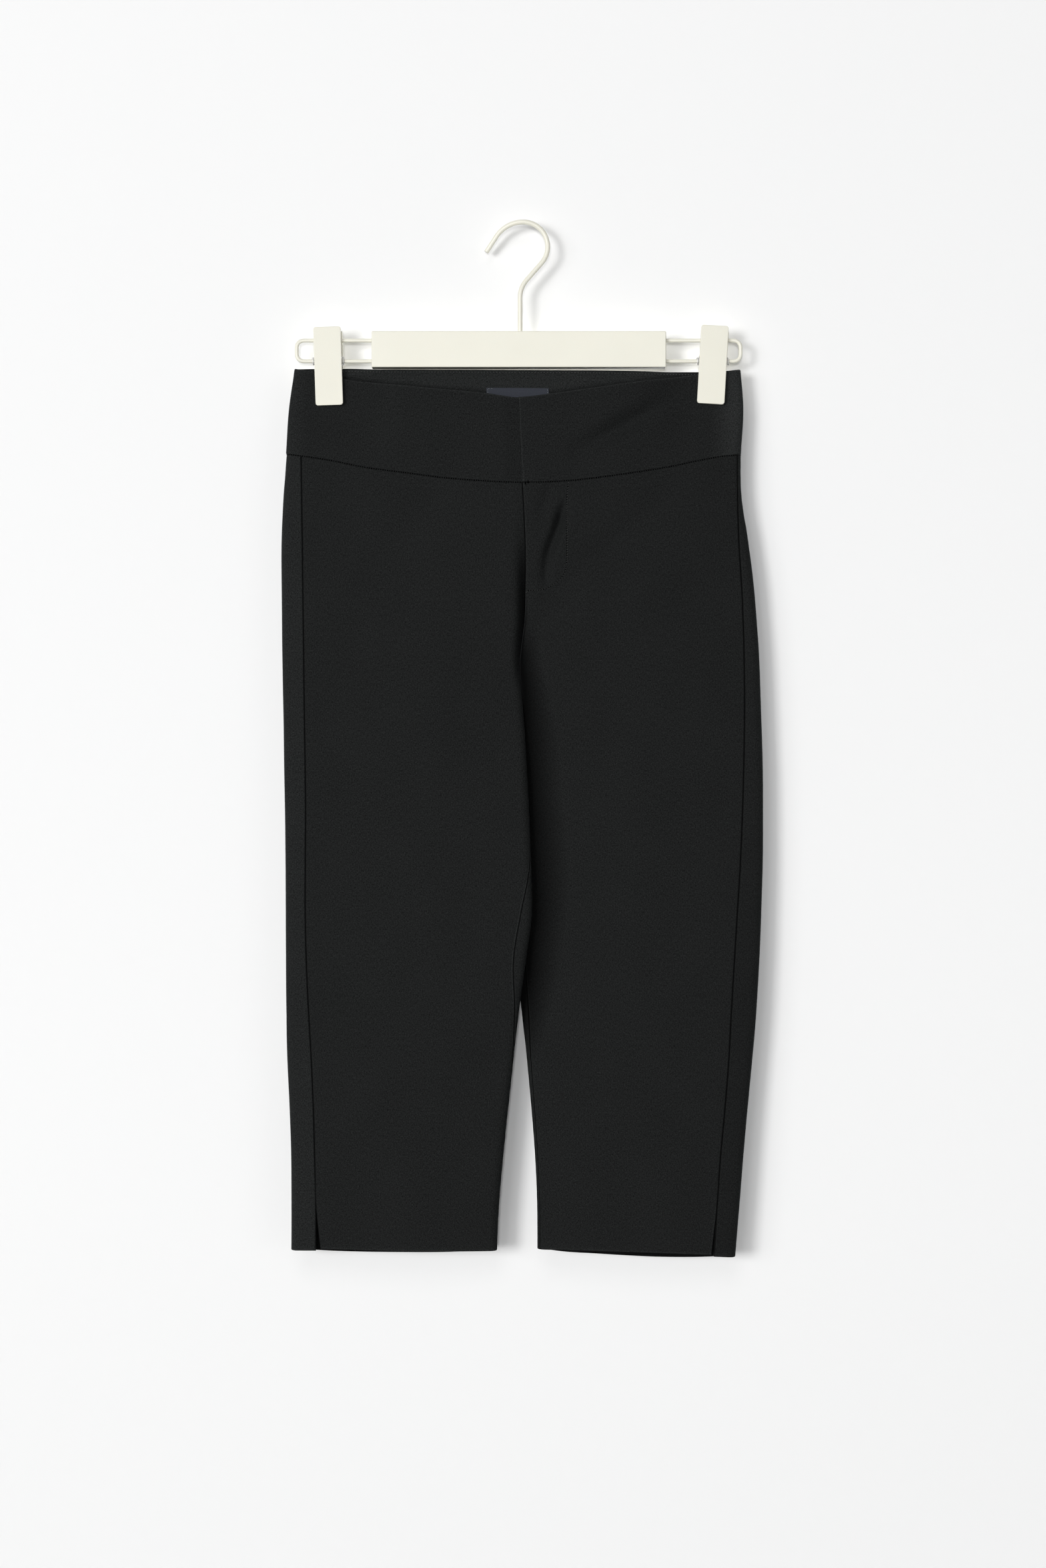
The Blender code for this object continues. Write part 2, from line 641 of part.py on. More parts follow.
def rounded(obj, width, segments=2):
    bevel = obj.modifiers.new("Rounded edges", "BEVEL")
    bevel.width = width * MM
    bevel.segments = segments
    bevel.limit_method = "ANGLE"
    return obj


def rod(name, radius, length, middle, axis, sides, cutters):
    """A cylinder along X or Z, kept as a cutter."""
    bm = bmesh.new()
    bmesh.ops.create_cone(
        bm, cap_ends=True, segments=sides, radius1=radius * MM, radius2=radius * MM, depth=length * MM
    )
    if axis == "X":
        bmesh.ops.rotate(bm, verts=bm.verts, cent=(0, 0, 0), matrix=Matrix.Rotation(math.pi / 2, 3, "Y"))
    mesh = bpy.data.meshes.new(name)
    bm.to_mesh(mesh)
    bm.free()
    obj = bpy.data.objects.new(name, mesh)
    obj.location = Vector(middle) * MM
    obj.hide_render = True
    obj.display_type = "WIRE"
    cutters.objects.link(obj)
    return obj


def cut_out(obj, cutter):
    cut = obj.modifiers.new(cutter.name, "BOOLEAN")
    cut.operation = "DIFFERENCE"
    cut.object = cutter


def block(finish, collection, cutters):
    """The moulded block, with sockets for the two loops and the hook."""
    size = (BLOCK_X[1] - BLOCK_X[0], BLOCK_DEPTH, BLOCK_DROP[1] - BLOCK_DROP[0])
    middle = (sum(BLOCK_X) / 2, 0, -sum(BLOCK_DROP) / 2)
    obj = rounded(box("bar_block", size, middle, finish, collection), BLOCK_EDGE)
    for end, face in (("right", BLOCK_X[0]), ("left", BLOCK_X[1])):
        for height, drop in zip(("upper", "lower"), LOOP_DROPS):
            name = f"socket_{end}_{height}"
            cut_out(obj, rod(name, BORE, 2 * SOCKET, (face, 0, -drop), "X", 12, cutters))
    foot = (HOOK_NECK_X, 0, -BLOCK_DROP[0])
    cut_out(obj, rod("socket_hook", BORE, 2 * SOCKET + 1, foot, "Z", 12, cutters))
    return obj


def plate(name, side, face, tall, aside, tilt, finish, collection):
    """One plate of a clip, in front (face -1) or behind (face 1), closed a little towards its jaw.

    Its jaw end stays at one height, and it turns about the lower wire.
    """
    wide, thick, _ = CLIP_SIZE
    bm = bmesh.new()
    bmesh.ops.create_cube(bm, size=1.0)
    bmesh.ops.scale(bm, vec=Vector((wide, thick, tall)) * MM, verts=bm.verts)
    corners = [e for e in bm.edges if abs(e.verts[0].co.y - e.verts[1].co.y) > thick * MM / 2]
    bmesh.ops.bevel(bm, geom=corners, offset=CLIP_CORNER * MM, segments=3, profile=0.5, affect="EDGES")
    mesh = bpy.data.meshes.new(name)
    bm.to_mesh(mesh)
    bm.free()
    obj = add(name, mesh, finish, collection)
    pivot = Vector((clip_middle(side, LOOP_DROPS[1]), 0, -LOOP_DROPS[1]))
    jaw = CLIP_TOP + CLIP_SIZE[2]
    rise = tall / 2 - (jaw - LOOP_DROPS[1])
    lean = math.atan2(CLIPS[side]["jaw"] - CLIPS[side]["top"], -CLIP_SIZE[2]) - math.pi
    place = Matrix.Translation(pivot * MM)
    place @= Matrix.Rotation(lean + math.radians(tilt), 4, "Y")
    place @= Matrix.Translation(Vector((aside, face * CLIP_SPREAD, 0)) * MM)
    place @= Matrix.Rotation(face * math.radians(CLIP_CLOSE), 4, "X")
    place @= Matrix.Translation(Vector((0, face * thick / 2, rise)) * MM)
    obj.matrix_world = place
    return rounded(obj, CLIP_EDGE, 1)


def clip(side, finishes, collection, cutters):
    """One clip: two plates and the spring between them."""
    plastic = finishes["plastic"]
    plate(f"clip_{side}_front", side, -1, CLIP_SIZE[2], 0, 0, plastic, collection)
    tall = CLIP_SIZE[2] - BACK_PLATE["shorter"]
    aside, tilt = BACK_PLATE["aside"], BACK_PLATE["tilt"]
    plate(f"clip_{side}_back", side, 1, tall, aside, tilt, plastic, collection)
    spring(side, finishes["steel"], collection, cutters)


def spring(side, finish, collection, cutters):
    """The coil on the lower wire, as the sleeve that its turns fill."""
    x, z = clip_middle(side, LOOP_DROPS[1]), -LOOP_DROPS[1]
    sleeve = rod(f"clip_{side}_spring", SPRING_RADIUS, SPRING_LENGTH, (x, 0, z), "X", 16, collection)
    sleeve.hide_render = False
    sleeve.display_type = "TEXTURED"
    sleeve.data.materials.append(finish)
    sleeve.data.shade_smooth()
    sleeve.data.set_sharp_from_angle(angle=math.radians(40))
    cut_out(sleeve, rod(f"bore_{side}", BORE, 2 * SPRING_LENGTH, (x, 0, z), "X", 12, cutters))
    return sleeve


def new_collection(name):
    made = bpy.data.collections.new(name)
    bpy.context.scene.collection.children.link(made)
    return made


def main():
    for obj in list(bpy.data.objects):
        bpy.data.objects.remove(obj)
    pants = new_collection("capri pants on a clip hanger")
    cutters = new_collection("cutters")
    finishes = {
        "cloth": material("black suiting", (0.013, 0.014, 0.0145), 0.85),
        "zip": material("black zip tape", (0.010, 0.010, 0.011), 0.75),
        "label": material("navy label", (0.028, 0.033, 0.042), 0.6),
        "plastic": material("cream plastic", (0.86, 0.84, 0.75), 0.42),
        "coating": material("cream coating", (0.86, 0.84, 0.76), 0.38),
        "steel": material("spring steel", (0.45, 0.45, 0.46), 0.35, 1.0),
    }
    paths = {side: ring(side) for side in HALVES}
    for side, path in paths.items():
        legs(side, path, finishes["cloth"], pants)
        waistband(side, paths, finishes["cloth"], pants)
    fly(paths, finishes, pants)
    label(paths, finishes["label"], pants)
    hook(finishes["coating"], pants)
    block(finishes["plastic"], pants, cutters)
    for side in CLIPS:
        loop(side, finishes["coating"], pants)
        clip(side, finishes, pants, cutters)


main()
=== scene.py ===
import math

import bmesh
import bpy
import numpy as np
from mathutils import Matrix, Vector


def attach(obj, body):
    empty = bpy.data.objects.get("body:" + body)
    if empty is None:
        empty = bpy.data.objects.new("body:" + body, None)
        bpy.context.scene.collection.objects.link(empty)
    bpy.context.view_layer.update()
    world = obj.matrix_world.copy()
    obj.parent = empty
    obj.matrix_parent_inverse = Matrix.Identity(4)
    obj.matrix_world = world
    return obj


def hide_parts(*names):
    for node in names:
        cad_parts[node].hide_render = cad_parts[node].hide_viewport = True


# Black capri pants on a clip hanger. Metres in Blender; the cloth is worked out in millimetres.
# +X is the wearer's left, -Y the front, +Z up. A drop is the distance below the hook's top.
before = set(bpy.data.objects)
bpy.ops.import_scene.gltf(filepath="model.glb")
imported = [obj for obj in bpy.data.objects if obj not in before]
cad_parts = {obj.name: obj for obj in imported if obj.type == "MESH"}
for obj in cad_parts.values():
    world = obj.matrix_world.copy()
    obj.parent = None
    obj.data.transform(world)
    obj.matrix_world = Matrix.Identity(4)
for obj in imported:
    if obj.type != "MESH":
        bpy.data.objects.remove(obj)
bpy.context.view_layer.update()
mm = 0.001
print("frame loaded:", len(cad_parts), "nodes")


def table(names, *rows):
    return dict(zip(names.split(), np.array(rows, float).T))


def blend(a, b, t):
    return a + (b - a) * t


def softStep(x):
    x = np.clip(x, 0, 1)
    return x * x * (3 - 2 * x)


def bump(x, width):
    return np.exp(-((x / width) ** 2))


def quarterRound(x):
    return np.sqrt(1 - (1 - np.clip(x, 0, 1)) ** 2)


def unit(vectors):
    return vectors / np.linalg.norm(vectors, axis=-1, keepdims=True)


def lengthsAlong(*coordinates):    # from a line's start to each of its points
    steps = np.sqrt(sum(np.diff(values) ** 2 for values in coordinates))
    return np.concatenate([np.zeros((*steps.shape[:-1], 1)), np.cumsum(steps, axis=-1)], axis=-1)


def pointsAt(at, length, points):
    return np.stack([np.interp(at, length, points[:, k]) for k in range(3)], axis=-1)


def curve(xs, ys, x):    # smooth line through (xs, ys), level past its ends
    slopes = np.gradient(ys, xs)
    x = np.clip(x, xs[0], xs[-1])
    i = np.clip(np.searchsorted(xs, x) - 1, 0, len(xs) - 2)
    span = xs[i + 1] - xs[i]
    t = (x - xs[i]) / span
    near = (1 + 2 * t) * (1 - t) ** 2 * ys[i] + t * (1 - t) ** 2 * span * slopes[i]
    far = (3 - 2 * t) * t * t * ys[i + 1] - t * t * (1 - t) * span * slopes[i + 1]
    return near + far


# The form of the pants. One row for each section of a half: x of the outer fold, of the centre seam or
# inner fold, of the front and the back piece's edge at the side seam, how far the inseam lies round to the
# front, how far the inner fold leans back, and the width of its rounding.
halves = {
    "right": table(
        "drop  outer   inner   side    strip   inseam  lean  roll",
        (118, -186.0, -5.0, -180.6, -180.6, 0.0, 0.0, 9.0),
        (150, -190.4, -3.8, -180.6, -180.6, 0.0, 0.0, 9.0),
        (188, -192.8, -2.2, -180.5, -180.5, 0.0, 0.0, 9.0),
        (220, -195.4, -0.4, -180.1, -180.1, 0.0, 0.0, 9.0),
        (260, -197.0, 1.5, -179.5, -179.5, 0.0, 0.0, 9.0),
        (300, -197.0, 1.4, -179.0, -179.0, 0.0, 0.0, 9.0),
        (325, -196.7, 0.4, -178.7, -178.7, 0.0, 0.0, 8.5),
        (340, -196.5, -1.5, -178.5, -178.5, 0.0, 0.0, 8.0),
        (358, -196.2, -3.2, -178.3, -178.3, 0.0, 0.0, 7.0),
        (381, -195.9, -1.4, -178.0, -178.0, 0.0, 0.0, 6.0),
        (410, -195.3, 0.6, -177.6, -177.6, -1.5, -3.0, 6.0),
        (440, -194.8, 2.2, -177.2, -177.2, -2.0, -5.0, 6.0),
        (480, -194.3, 4.4, -176.8, -176.8, -1.0, -6.0, 6.0),
        (520, -194.0, 6.1, -177.1, -177.1, 3.0, -6.8, 6.0),
        (560, -193.7, 7.0, -177.2, -177.2, 12.0, -7.0, 6.0),
        (600, -193.5, 1.8, -176.2, -176.2, 13.0, -6.5, 6.0),
        (640, -193.0, -3.9, -174.4, -174.4, 6.0, -5.5, 6.0),
        (680, -192.2, -8.3, -172.2, -172.2, 2.8, -4.0, 6.0),
        (720, -190.6, -12.8, -170.5, -170.5, 0.6, -3.0, 6.0),
        (760, -189.4, -17.1, -169.4, -169.4, -1.5, -2.0, 6.0),
        (800, -189.0, -20.3, -168.4, -168.4, -3.0, -1.0, 6.0),
        (842, -189.0, -22.0, -163.8, -168.7, -4.0, 0.0, 6.0),
    ),
    "left": table(
        "drop  outer   inner   side    strip   inseam  lean  roll",
        (118, 175.9, -5.0, 173.6, 173.6, 0.0, 0.0, 9.0),
        (150, 178.4, -3.8, 173.6, 173.6, 0.0, 0.0, 9.0),
        (188, 176.6, -2.2, 173.6, 173.6, 0.0, 0.0, 9.0),
        (220, 177.2, -0.4, 173.8, 173.8, 0.0, 0.0, 9.0),
        (260, 183.0, 1.5, 174.8, 174.8, 0.0, 0.0, 9.0),
        (300, 187.8, 1.4, 177.2, 177.2, 0.0, 0.0, 9.0),
        (325, 189.9, 0.4, 178.2, 178.2, 0.0, 0.0, 9.0),
        (340, 191.0, -1.5, 178.7, 178.7, 0.0, 0.0, 9.0),
        (358, 191.9, -3.2, 179.0, 179.0, 0.0, 0.0, 9.0),
        (381, 192.8, -1.4, 179.3, 179.3, 0.0, 0.0, 9.0),
        (410, 193.8, -1.0, 179.2, 179.2, 2.0, 3.0, 13.0),
        (440, 194.5, -2.3, 178.7, 178.7, 4.0, 5.0, 17.0),
        (480, 195.0, -5.0, 177.6, 177.6, 7.0, 6.0, 20.0),
        (520, 194.8, -7.0, 175.9, 175.9, 9.0, 6.8, 21.0),
        (560, 193.6, -8.0, 173.5, 173.5, 10.0, 7.0, 20.0),
        (600, 191.9, -6.4, 171.0, 171.0, 10.0, 6.5, 17.0),
        (640, 189.4, -1.6, 168.6, 168.6, 8.0, 5.5, 12.0),
        (680, 186.0, 2.6, 166.5, 166.5, 6.0, 4.0, 8.0),
        (720, 182.4, 6.6, 163.3, 163.3, 5.0, 3.0, 7.0),
        (760, 178.9, 9.6, 159.6, 159.6, 5.0, 2.0, 6.0),
        (800, 175.6, 11.0, 156.8, 156.8, 4.8, 1.0, 6.0),
        (842, 172.1, 11.4, 152.0, 154.2, 4.6, 0.0, 6.0),
    ),
}

# How far the cloth stands out at the middle of its front and back, how deep the centre seams sink, and how
# much the section is two legs (1) and not one body (0).
depths = table(
    "drop  front  back  groove  parted",
    (118, 19.0, 8.0, 0.00, 0.0),
    (150, 19.0, 9.0, 0.00, 0.0),
    (188, 17.5, 12.0, 0.00, 0.0),
    (220, 16.5, 15.0, 0.00, 0.0),
    (260, 15.5, 18.0, 0.00, 0.0),
    (292, 15.0, 19.5, 0.00, 0.1),
    (312, 14.5, 20.0, 0.12, 0.3),
    (345, 14.0, 19.0, 0.45, 0.6),
    (381, 13.5, 17.0, 1.00, 0.9),
    (420, 13.0, 15.0, 1.00, 1.0),
    (520, 12.0, 12.5, 1.00, 1.0),
    (600, 11.5, 12.0, 1.00, 1.0),
    (700, 11.5, 12.0, 1.00, 1.0),
    (780, 12.0, 12.5, 1.00, 1.0),
    (842, 12.5, 13.0, 1.00, 1.0),
)

# The waistband's top edge and the seam under it.
frontTop = table(
    "x      drop",
    (-186, 118.4), (-171, 121.2), (-146, 126.7), (-117, 131.2), (-78, 135.7), (-32, 140.2),
    (-4, 143.6), (21, 140.8), (52, 136.4), (101, 129.1), (142, 123.1), (176, 118.9),
)
backTop = table(
    "x      drop",
    (-186, 118.2), (-100, 117.7), (0, 118.0), (90, 118.9), (150, 120.5), (176, 118.9),
)
frontSeam = table(
    "x      drop",
    (-193, 188.0), (-181, 189.6), (-156, 193.7), (-130, 199.2), (-97, 203.8), (-64, 208.2), (-38, 210.4),
    (0, 212.0), (39, 210.4), (79, 205.3), (118, 199.0), (144, 193.3), (162, 189.9), (177, 188.4),
)
backSeam = table("x drop", (-193, 188.0), (-100, 190.0), (0, 191.0), (100, 190.4), (177, 188.4))

# The hems: drops round a leg, from turn 0 at the inner fold, over the front to 1 and the back to 2.
hems = {
    "front_right": table("turn drop", (0, 835.3), (0.2, 834.9), (0.55, 834.0), (0.87, 832.8)),
    "back_right": table(
        "turn drop", (0.87, 834.3), (1, 834.9), (1.2, 837.3), (1.5, 838.8), (1.8, 838.0), (2, 835.3)
    ),
    "front_left": table("turn drop", (0, 834.1), (0.12, 834.0), (0.5, 835.3), (0.88, 837.8)),
    "back_left": table(
        "turn drop",
        (0.88, 839.2), (1, 840.5), (1.2, 842.4), (1.35, 842.6), (1.55, 841.5), (1.7, 839.8),
        (1.88, 837.4), (2, 834.1),
    ),
}

# Creases as straight soft ridges (+) and troughs (-), from (x0, drop0) to (x1, drop1).
frontCreases = table(
    "x0     drop0  x1    drop1  height  width",
    (120, 145, 44, 186, -8.0, 8.5),
    (-62, 212, -128, 290, -2.2, 13),
    (-128, 290, -138, 352, -2.0, 14),
    (10, 312, 112, 226, -2.2, 10),
    (60, 330, 150, 262, 1.4, 16),
    (6, 330, 44, 306, -1.6, 5),
    (-70, 420, -96, 560, 0.8, 18),
    (96, 430, 84, 610, 0.8, 20),
    (35.2, 225, 31.6, 237, -1.6, 3.6),      # the drag beside the fly
    (32.0, 234, 27.2, 251, -8.2, 4.0),
    (27.6, 248, 22.6, 264, -5.6, 4.0),
    (22.6, 260, 18.6, 277, -5.8, 4.0),
    (18.9, 275, 17.3, 293, -3.4, 3.8),
    (26.6, 236, 16.6, 264, 0.7, 4.0),
    (23, 214, 13, 238, -1.8, 4.5),
    (8, 322, 60, 292, -1.1, 7),
    (-150, 250, -172, 330, 0.5, 9),
    (-30, 470, -52, 640, -0.5, 14),
    (120, 480, 132, 650, -0.5, 15),
    (-120, 640, -108, 800, 0.5, 16),
    (70, 650, 58, 800, 0.5, 15),
)
backCreases = table(
    "x0     drop0  x1    drop1  height  width",
    (-20, 372, -120, 300, -3.1, 12),
    (22, 374, 116, 306, -2.7, 13),
    (-30, 400, -140, 372, -2.4, 12),
    (34, 404, 138, 380, -2.0, 12),
    (-92, 440, -100, 620, 1.5, 18),
    (88, 440, 92, 600, 1.5, 18),
    (-14, 348, -70, 318, -1.5, 6),
    (16, 352, 64, 326, -1.4, 6),
    (-150, 210, -120, 262, -1.4, 9),
    (138, 214, 112, 258, -1.4, 9),
    (-60, 520, -44, 650, -1.0, 12),
    (120, 540, 132, 690, -1.0, 13),
    (-118, 660, -106, 800, 0.8, 15),
    (60, 660, 70, 800, 0.8, 14),
    (0, 230, -4, 300, -0.8, 9),
)

clothForm = {
    "levelStep": 1.25,
    "facePoints": 401,
    "ringPoints": 1001,
    "outerFold": 6.0,
    "innerFold": 5.0,
    "pinch": 2.1,
    "pinchSide": {"front": 50.0, "back": 30.0},
    "pinchBelow": 46.0,
    "crotch": 381.0,
    "settling": 6,    # rounds in which the rows' drops settle
}
clips = {
    "right": {"top": -159.8, "jaw": -157.6, "lower": 0.7},
    "left": {"top": 155.5, "jaw": 151.8, "lower": -0.4},
}
clipPlate = {"wide": 22.3, "thick": 2.6, "tall": 64.0, "topDrop": 84.0, "corner": 2.2, "edge": 0.55}
levels = np.arange(115.0, 848.5, clothForm["levelStep"])
sectionNames = ("x", "y", "nx", "ny", "turn")


def relief(creases, x, drop):
    height = np.zeros(np.broadcast(x, drop).shape)
    for x0, drop0, x1, drop1, high, width in zip(*creases.values()):
        across, down = x1 - x0, drop1 - drop0
        along = np.clip(((x - x0) * across + (drop - drop0) * down) / (across**2 + down**2), 0, 1)
        away = np.hypot(x - x0 - along * across, drop - drop0 - along * down)
        height += high * (0.35 + 0.65 * np.sin(np.pi * along)) * bump(away, width)
    return height


def clipMiddle(side, drop):
    clip = clips[side]
    return blend(clip["top"], clip["jaw"], (drop - clipPlate["topDrop"]) / clipPlate["tall"])


def pinch(side, x, drop, panel):    # 1 where a clip presses the cloth flat
    beside = abs(x - clipMiddle(side, drop)) - clipPlate["wide"] / 2 - 1
    below = drop - clipPlate["topDrop"] - clipPlate["tall"] - 2
    beside = softStep(beside / clothForm["pinchSide"][panel])
    return (1 - beside) * (1 - softStep(below / clothForm["pinchBelow"]))


def halfSections(side):    # every level's section of a half, centre front round to centre back
    half = halves[side]
    cut = {name: curve(half["drop"], half[name], levels)[:, None] for name in half}
    depth = {name: curve(depths["drop"], depths[name], levels)[:, None] for name in depths}
    drop = levels[:, None]
    outwards = -1 if side == "right" else 1
    inner = cut["inner"]
    width = abs(cut["outer"] - inner)
    share = (1 - np.cos(np.pi * np.linspace(0, 1, clothForm["facePoints"]))) / 2
    away = width * share
    x = inner + (cut["outer"] - inner) * share

    groove = np.clip(depth["groove"], 0, 1)
    dip = np.sin(np.pi / 2 * np.clip(away / cut["roll"], 0, 1))
    dip = blend(dip, quarterRound(away / cut["roll"]), groove**6)
    edge = quarterRound((width - away) / clothForm["outerFold"]) * (1 - groove * (1 - dip))
    swell = blend(1 - share**2.2, 4 * share * (1 - share), np.clip(depth["parted"], 0, 1))
    fold = blend(clothForm["innerFold"], clothForm["outerFold"], share)
    middle = cut["lean"] * (1 - share) ** 1.5

    def face(panel, high, creases):
        press = pinch(side, x, drop, panel)
        thick = blend(fold + (high - fold) * swell, clothForm["pinch"], press)
        return edge * (thick + relief(creases, x, drop) * (1 - press))

    front = middle - face("front", depth["front"], frontCreases)
    back = middle + face("back", depth["back"], backCreases)
    xs = np.concatenate([x, x[:, -2::-1]], axis=1)
    ys = np.concatenate([front, back[:, -2::-1]], axis=1)
    turns = np.concatenate([share, 2 - share[-2::-1]])
    made = {name: [] for name in (*sectionNames, "length")}
    for rowX, rowY in zip(xs, ys):
        length = lengthsAlong(rowX, rowY)
        even = np.linspace(0, length[-1], clothForm["ringPoints"])
        ex, ey = np.interp(even, length, rowX), np.interp(even, length, rowY)
        tx, ty = np.gradient(ex, even), np.gradient(ey, even)
        long = np.hypot(tx, ty)
        turned = np.interp(even, length, turns)
        row = (ex, ey, outwards * ty / long, -outwards * tx / long, turned, even)
        for name, values in zip(made, row):
            made[name].append(values)
    made = {name: np.array(rows) for name, rows in made.items()}
    made["cut"] = {name: value[:, 0] for name, value in cut.items()}
    made["width"] = width[:, 0]
    made["inner"] = inner[:, 0]
    return made


def columnsAt(path, lengths):    # the sections read at lengths, on past the inner fold where they pass it
    made = {name: [] for name in sectionNames}
    for level, length in enumerate(path["length"]):
        around = np.concatenate([length[:-1] - length[-1], length, length[1:] + length[-1]])
        for name in sectionNames:
            values, step = path[name][level], 2 if name == "turn" else 0
            values = np.concatenate([values[:-1] - step, values, values[1:] + step])
            made[name].append(np.interp(lengths[level], around, values))
    return {name: np.array(rows) for name, rows in made.items()}


def layRows(columns, share, shift, topOf, bottomOf):    # a grid of rows by columns on the form
    count = columns["x"].shape[1]
    laid = {name: np.zeros((len(share), count)) for name in (*sectionNames, "drop")}
    for j in range(count):
        drop = np.full(len(share), clothForm["crotch"])
        for _ in range(clothForm["settling"]):
            x = np.interp(drop, levels, columns["x"][:, j])
            turn = np.interp(drop, levels, columns["turn"][:, j])
            drop = blend(topOf(x, turn), bottomOf(x, turn), share) + shift
        for name in sectionNames:
            laid[name][:, j] = np.interp(drop, levels, columns[name][:, j])
        laid["drop"][:, j] = drop
    return laid


def waistDrop(front, back, x, turn):
    onFront = (np.clip(turn, 0, 2) <= 1) | (turn > 2)
    return np.where(onFront, curve(front["x"], front["drop"], x), curve(back["x"], back["drop"], x))


# How an edge is finished, from the edge inwards: distance in on the face and on the inside, how far the
# face and the inside are moved out (+) or in (-) there, and its painted light and shade: how much lighter
# (+) or darker (-) the cloth is painted, as painted shade in seam ditches and painted highlights on folded
# edges.
# Where a table has no inside, it lies at the face's distances.
edgeFinish = {
    "seam": table(
        "face   inside  faceOut  insideOut  shade",
        (0.00, 0.80, -2.40, -1.60, -0.90),
        (0.03, 0.80, -1.60, -1.05, -0.90),
        (0.12, 0.82, -1.05, -0.68, -0.90),
        (0.28, 0.88, -0.60, -0.38, -0.80),
        (0.50, 0.98, -0.30, -0.19, -0.45),
        (0.80, 1.10, -0.11, -0.07, -0.05),
        (1.20, 1.30, 0.00, 0.00, 0.00),
    ),
    "lapped": table(
        "face   inside  faceOut  insideOut  shade",
        (0.00, 0.80, -2.40, -1.60, -0.90),
        (0.03, 0.80, -1.30, -1.05, -0.80),
        (0.12, 0.82, -0.62, -0.60, -0.40),
        (0.30, 0.88, -0.24, -0.24, 0.05),
        (0.55, 0.98, -0.08, -0.10, 0.26),
        (0.85, 1.10, -0.02, -0.02, 0.18),
        (1.25, 1.35, 0.00, 0.00, 0.05),
        (1.80, 1.80, 0.00, 0.00, 0.00),
    ),
    "tucked": table(
        "face   faceOut  insideOut  shade",
        (-4.00, -2.30, -2.30, -0.90),
        (-1.60, -2.25, -2.25, -0.90),
        (-0.50, -2.05, -2.05, -0.90),
        (0.05, -1.35, -1.35, -0.85),
        (0.30, -0.78, -0.78, -0.60),
        (0.60, -0.30, -0.30, -0.30),
        (1.00, -0.07, -0.07, -0.06),
        (1.50, 0.00, 0.00, 0.00),
    ),
    "hem": table(    # turned up inside, so the inside is thicker up to the hem's raw edge
        "face   faceOut  insideOut  shade",
        (0.00, -0.75, -0.15, -0.92),
        (0.10, -0.42, -0.48, -0.88),
        (0.32, -0.16, -0.74, -0.50),
        (0.62, -0.03, -0.87, 0.40),
        (1.00, 0.00, -0.90, 0.40),
        (1.60, 0.00, -0.90, 0.12),
        (4.00, 0.00, -0.90, 0.00),
        (9.00, 0.00, -0.90, 0.00),
        (15.0, 0.00, -0.90, 0.00),
        (21.0, 0.00, -0.90, 0.00),
        (25.0, 0.00, -0.90, 0.00),
        (25.6, 0.00, -0.30, 0.00),
        (26.4, 0.00, 0.00, 0.00),
    ),
    "rolled": table(
        "face   faceOut  insideOut  shade",
        (0.00, -0.98, 0.98, -0.70), (0.10, -0.55, 0.55, -0.10), (0.32, -0.24, 0.24, 0.45),
        (0.65, -0.06, 0.06, 0.50), (1.10, 0.00, 0.00, 0.15), (1.60, 0.00, 0.00, 0.00),
    ),
    "fold": table(
        "face   faceOut  insideOut  shade",
        (0.00, -0.98, 0.98, -0.85), (0.10, -0.55, 0.55, -0.40), (0.32, -0.24, 0.24, 0.30),
        (0.65, -0.06, 0.06, 0.50), (1.10, 0.00, 0.00, 0.25), (1.70, 0.00, 0.00, 0.00),
    ),
    "turned": table(
        "face   faceOut  insideOut  shade",
        (0.00, -1.25, 0.10, -0.85), (0.08, -0.74, 0.04, -0.50), (0.28, -0.34, 0.00, -0.05),
        (0.60, -0.09, 0.00, 0.12), (1.05, 0.00, 0.00, 0.00),
    ),
    "centre": table(
        "face   inside  faceOut  insideOut  shade",
        (0.00, 0.00, -1.40, -0.10, -0.90),
        (0.04, 0.02, -0.80, -0.05, -0.80),
        (0.14, 0.10, -0.44, -0.02, -0.50),
        (0.34, 0.30, -0.18, 0.00, -0.15),
        (0.62, 0.62, -0.05, 0.00, 0.00),
        (1.00, 1.00, 0.00, 0.00, 0.00),
    ),
    "raw": table(
        "face   faceOut  insideOut  shade",
        (0.00, -0.30, 0.30, 0.00), (0.25, -0.05, 0.05, 0.00), (0.60, 0.00, 0.00, 0.00),
    ),
}
edgeSpread = (1.7, 2.6, 3.8, 5.4, 7.4, 9.8, 12.4)    # plain steps in from a finished edge


def edgeSteps(kind):
    steps = {name: list(column) for name, column in edgeFinish[kind].items()}
    steps.setdefault("inside", list(steps["face"]))
    last = {name: column[-1] for name, column in steps.items()}
    for away in edgeSpread:
        if away > last["face"] + 0.3:
            for name, value in {**last, "face": away, "inside": away, "shade": 0.0}.items():
                steps[name].append(value)
    return {name: np.array(column) for name, column in steps.items()}


def spacing(startKind, endKind, middle, crowd=0.0):    # shares, moves and outs between two finished edges
    first, last = edgeSteps(startKind), edgeSteps(endKind)
    inner = np.linspace(0, 1, middle + 2)[1:-1]
    inner = blend(inner, inner**2, crowd)
    made = {"share": np.concatenate([np.zeros(len(first["face"])), inner, np.ones(len(last["face"]))])}
    for name in ("face", "inside"):
        bridge = blend(first[name][-1], -last[name][-1], inner)
        made[name] = np.concatenate([first[name], bridge, -last[name][::-1]])
    for name in ("faceOut", "insideOut"):
        bridge = blend(first[name][-1], last[name][-1], softStep(inner * 40) if middle > 60 else inner)
        made[name] = np.concatenate([first[name], bridge, last[name][::-1]])
    # the two edges' painted light and shade, and none between them
    made["shade"] = np.concatenate([first["shade"], 0 * inner, last["shade"][::-1]])
    return made


def together(a, b):    # two edges' moves at a corner
    return np.where(a * b > 0, np.sign(a) * np.hypot(a, b), a + b)


thinnest = 0.2    # between the face and the inside of a cloth

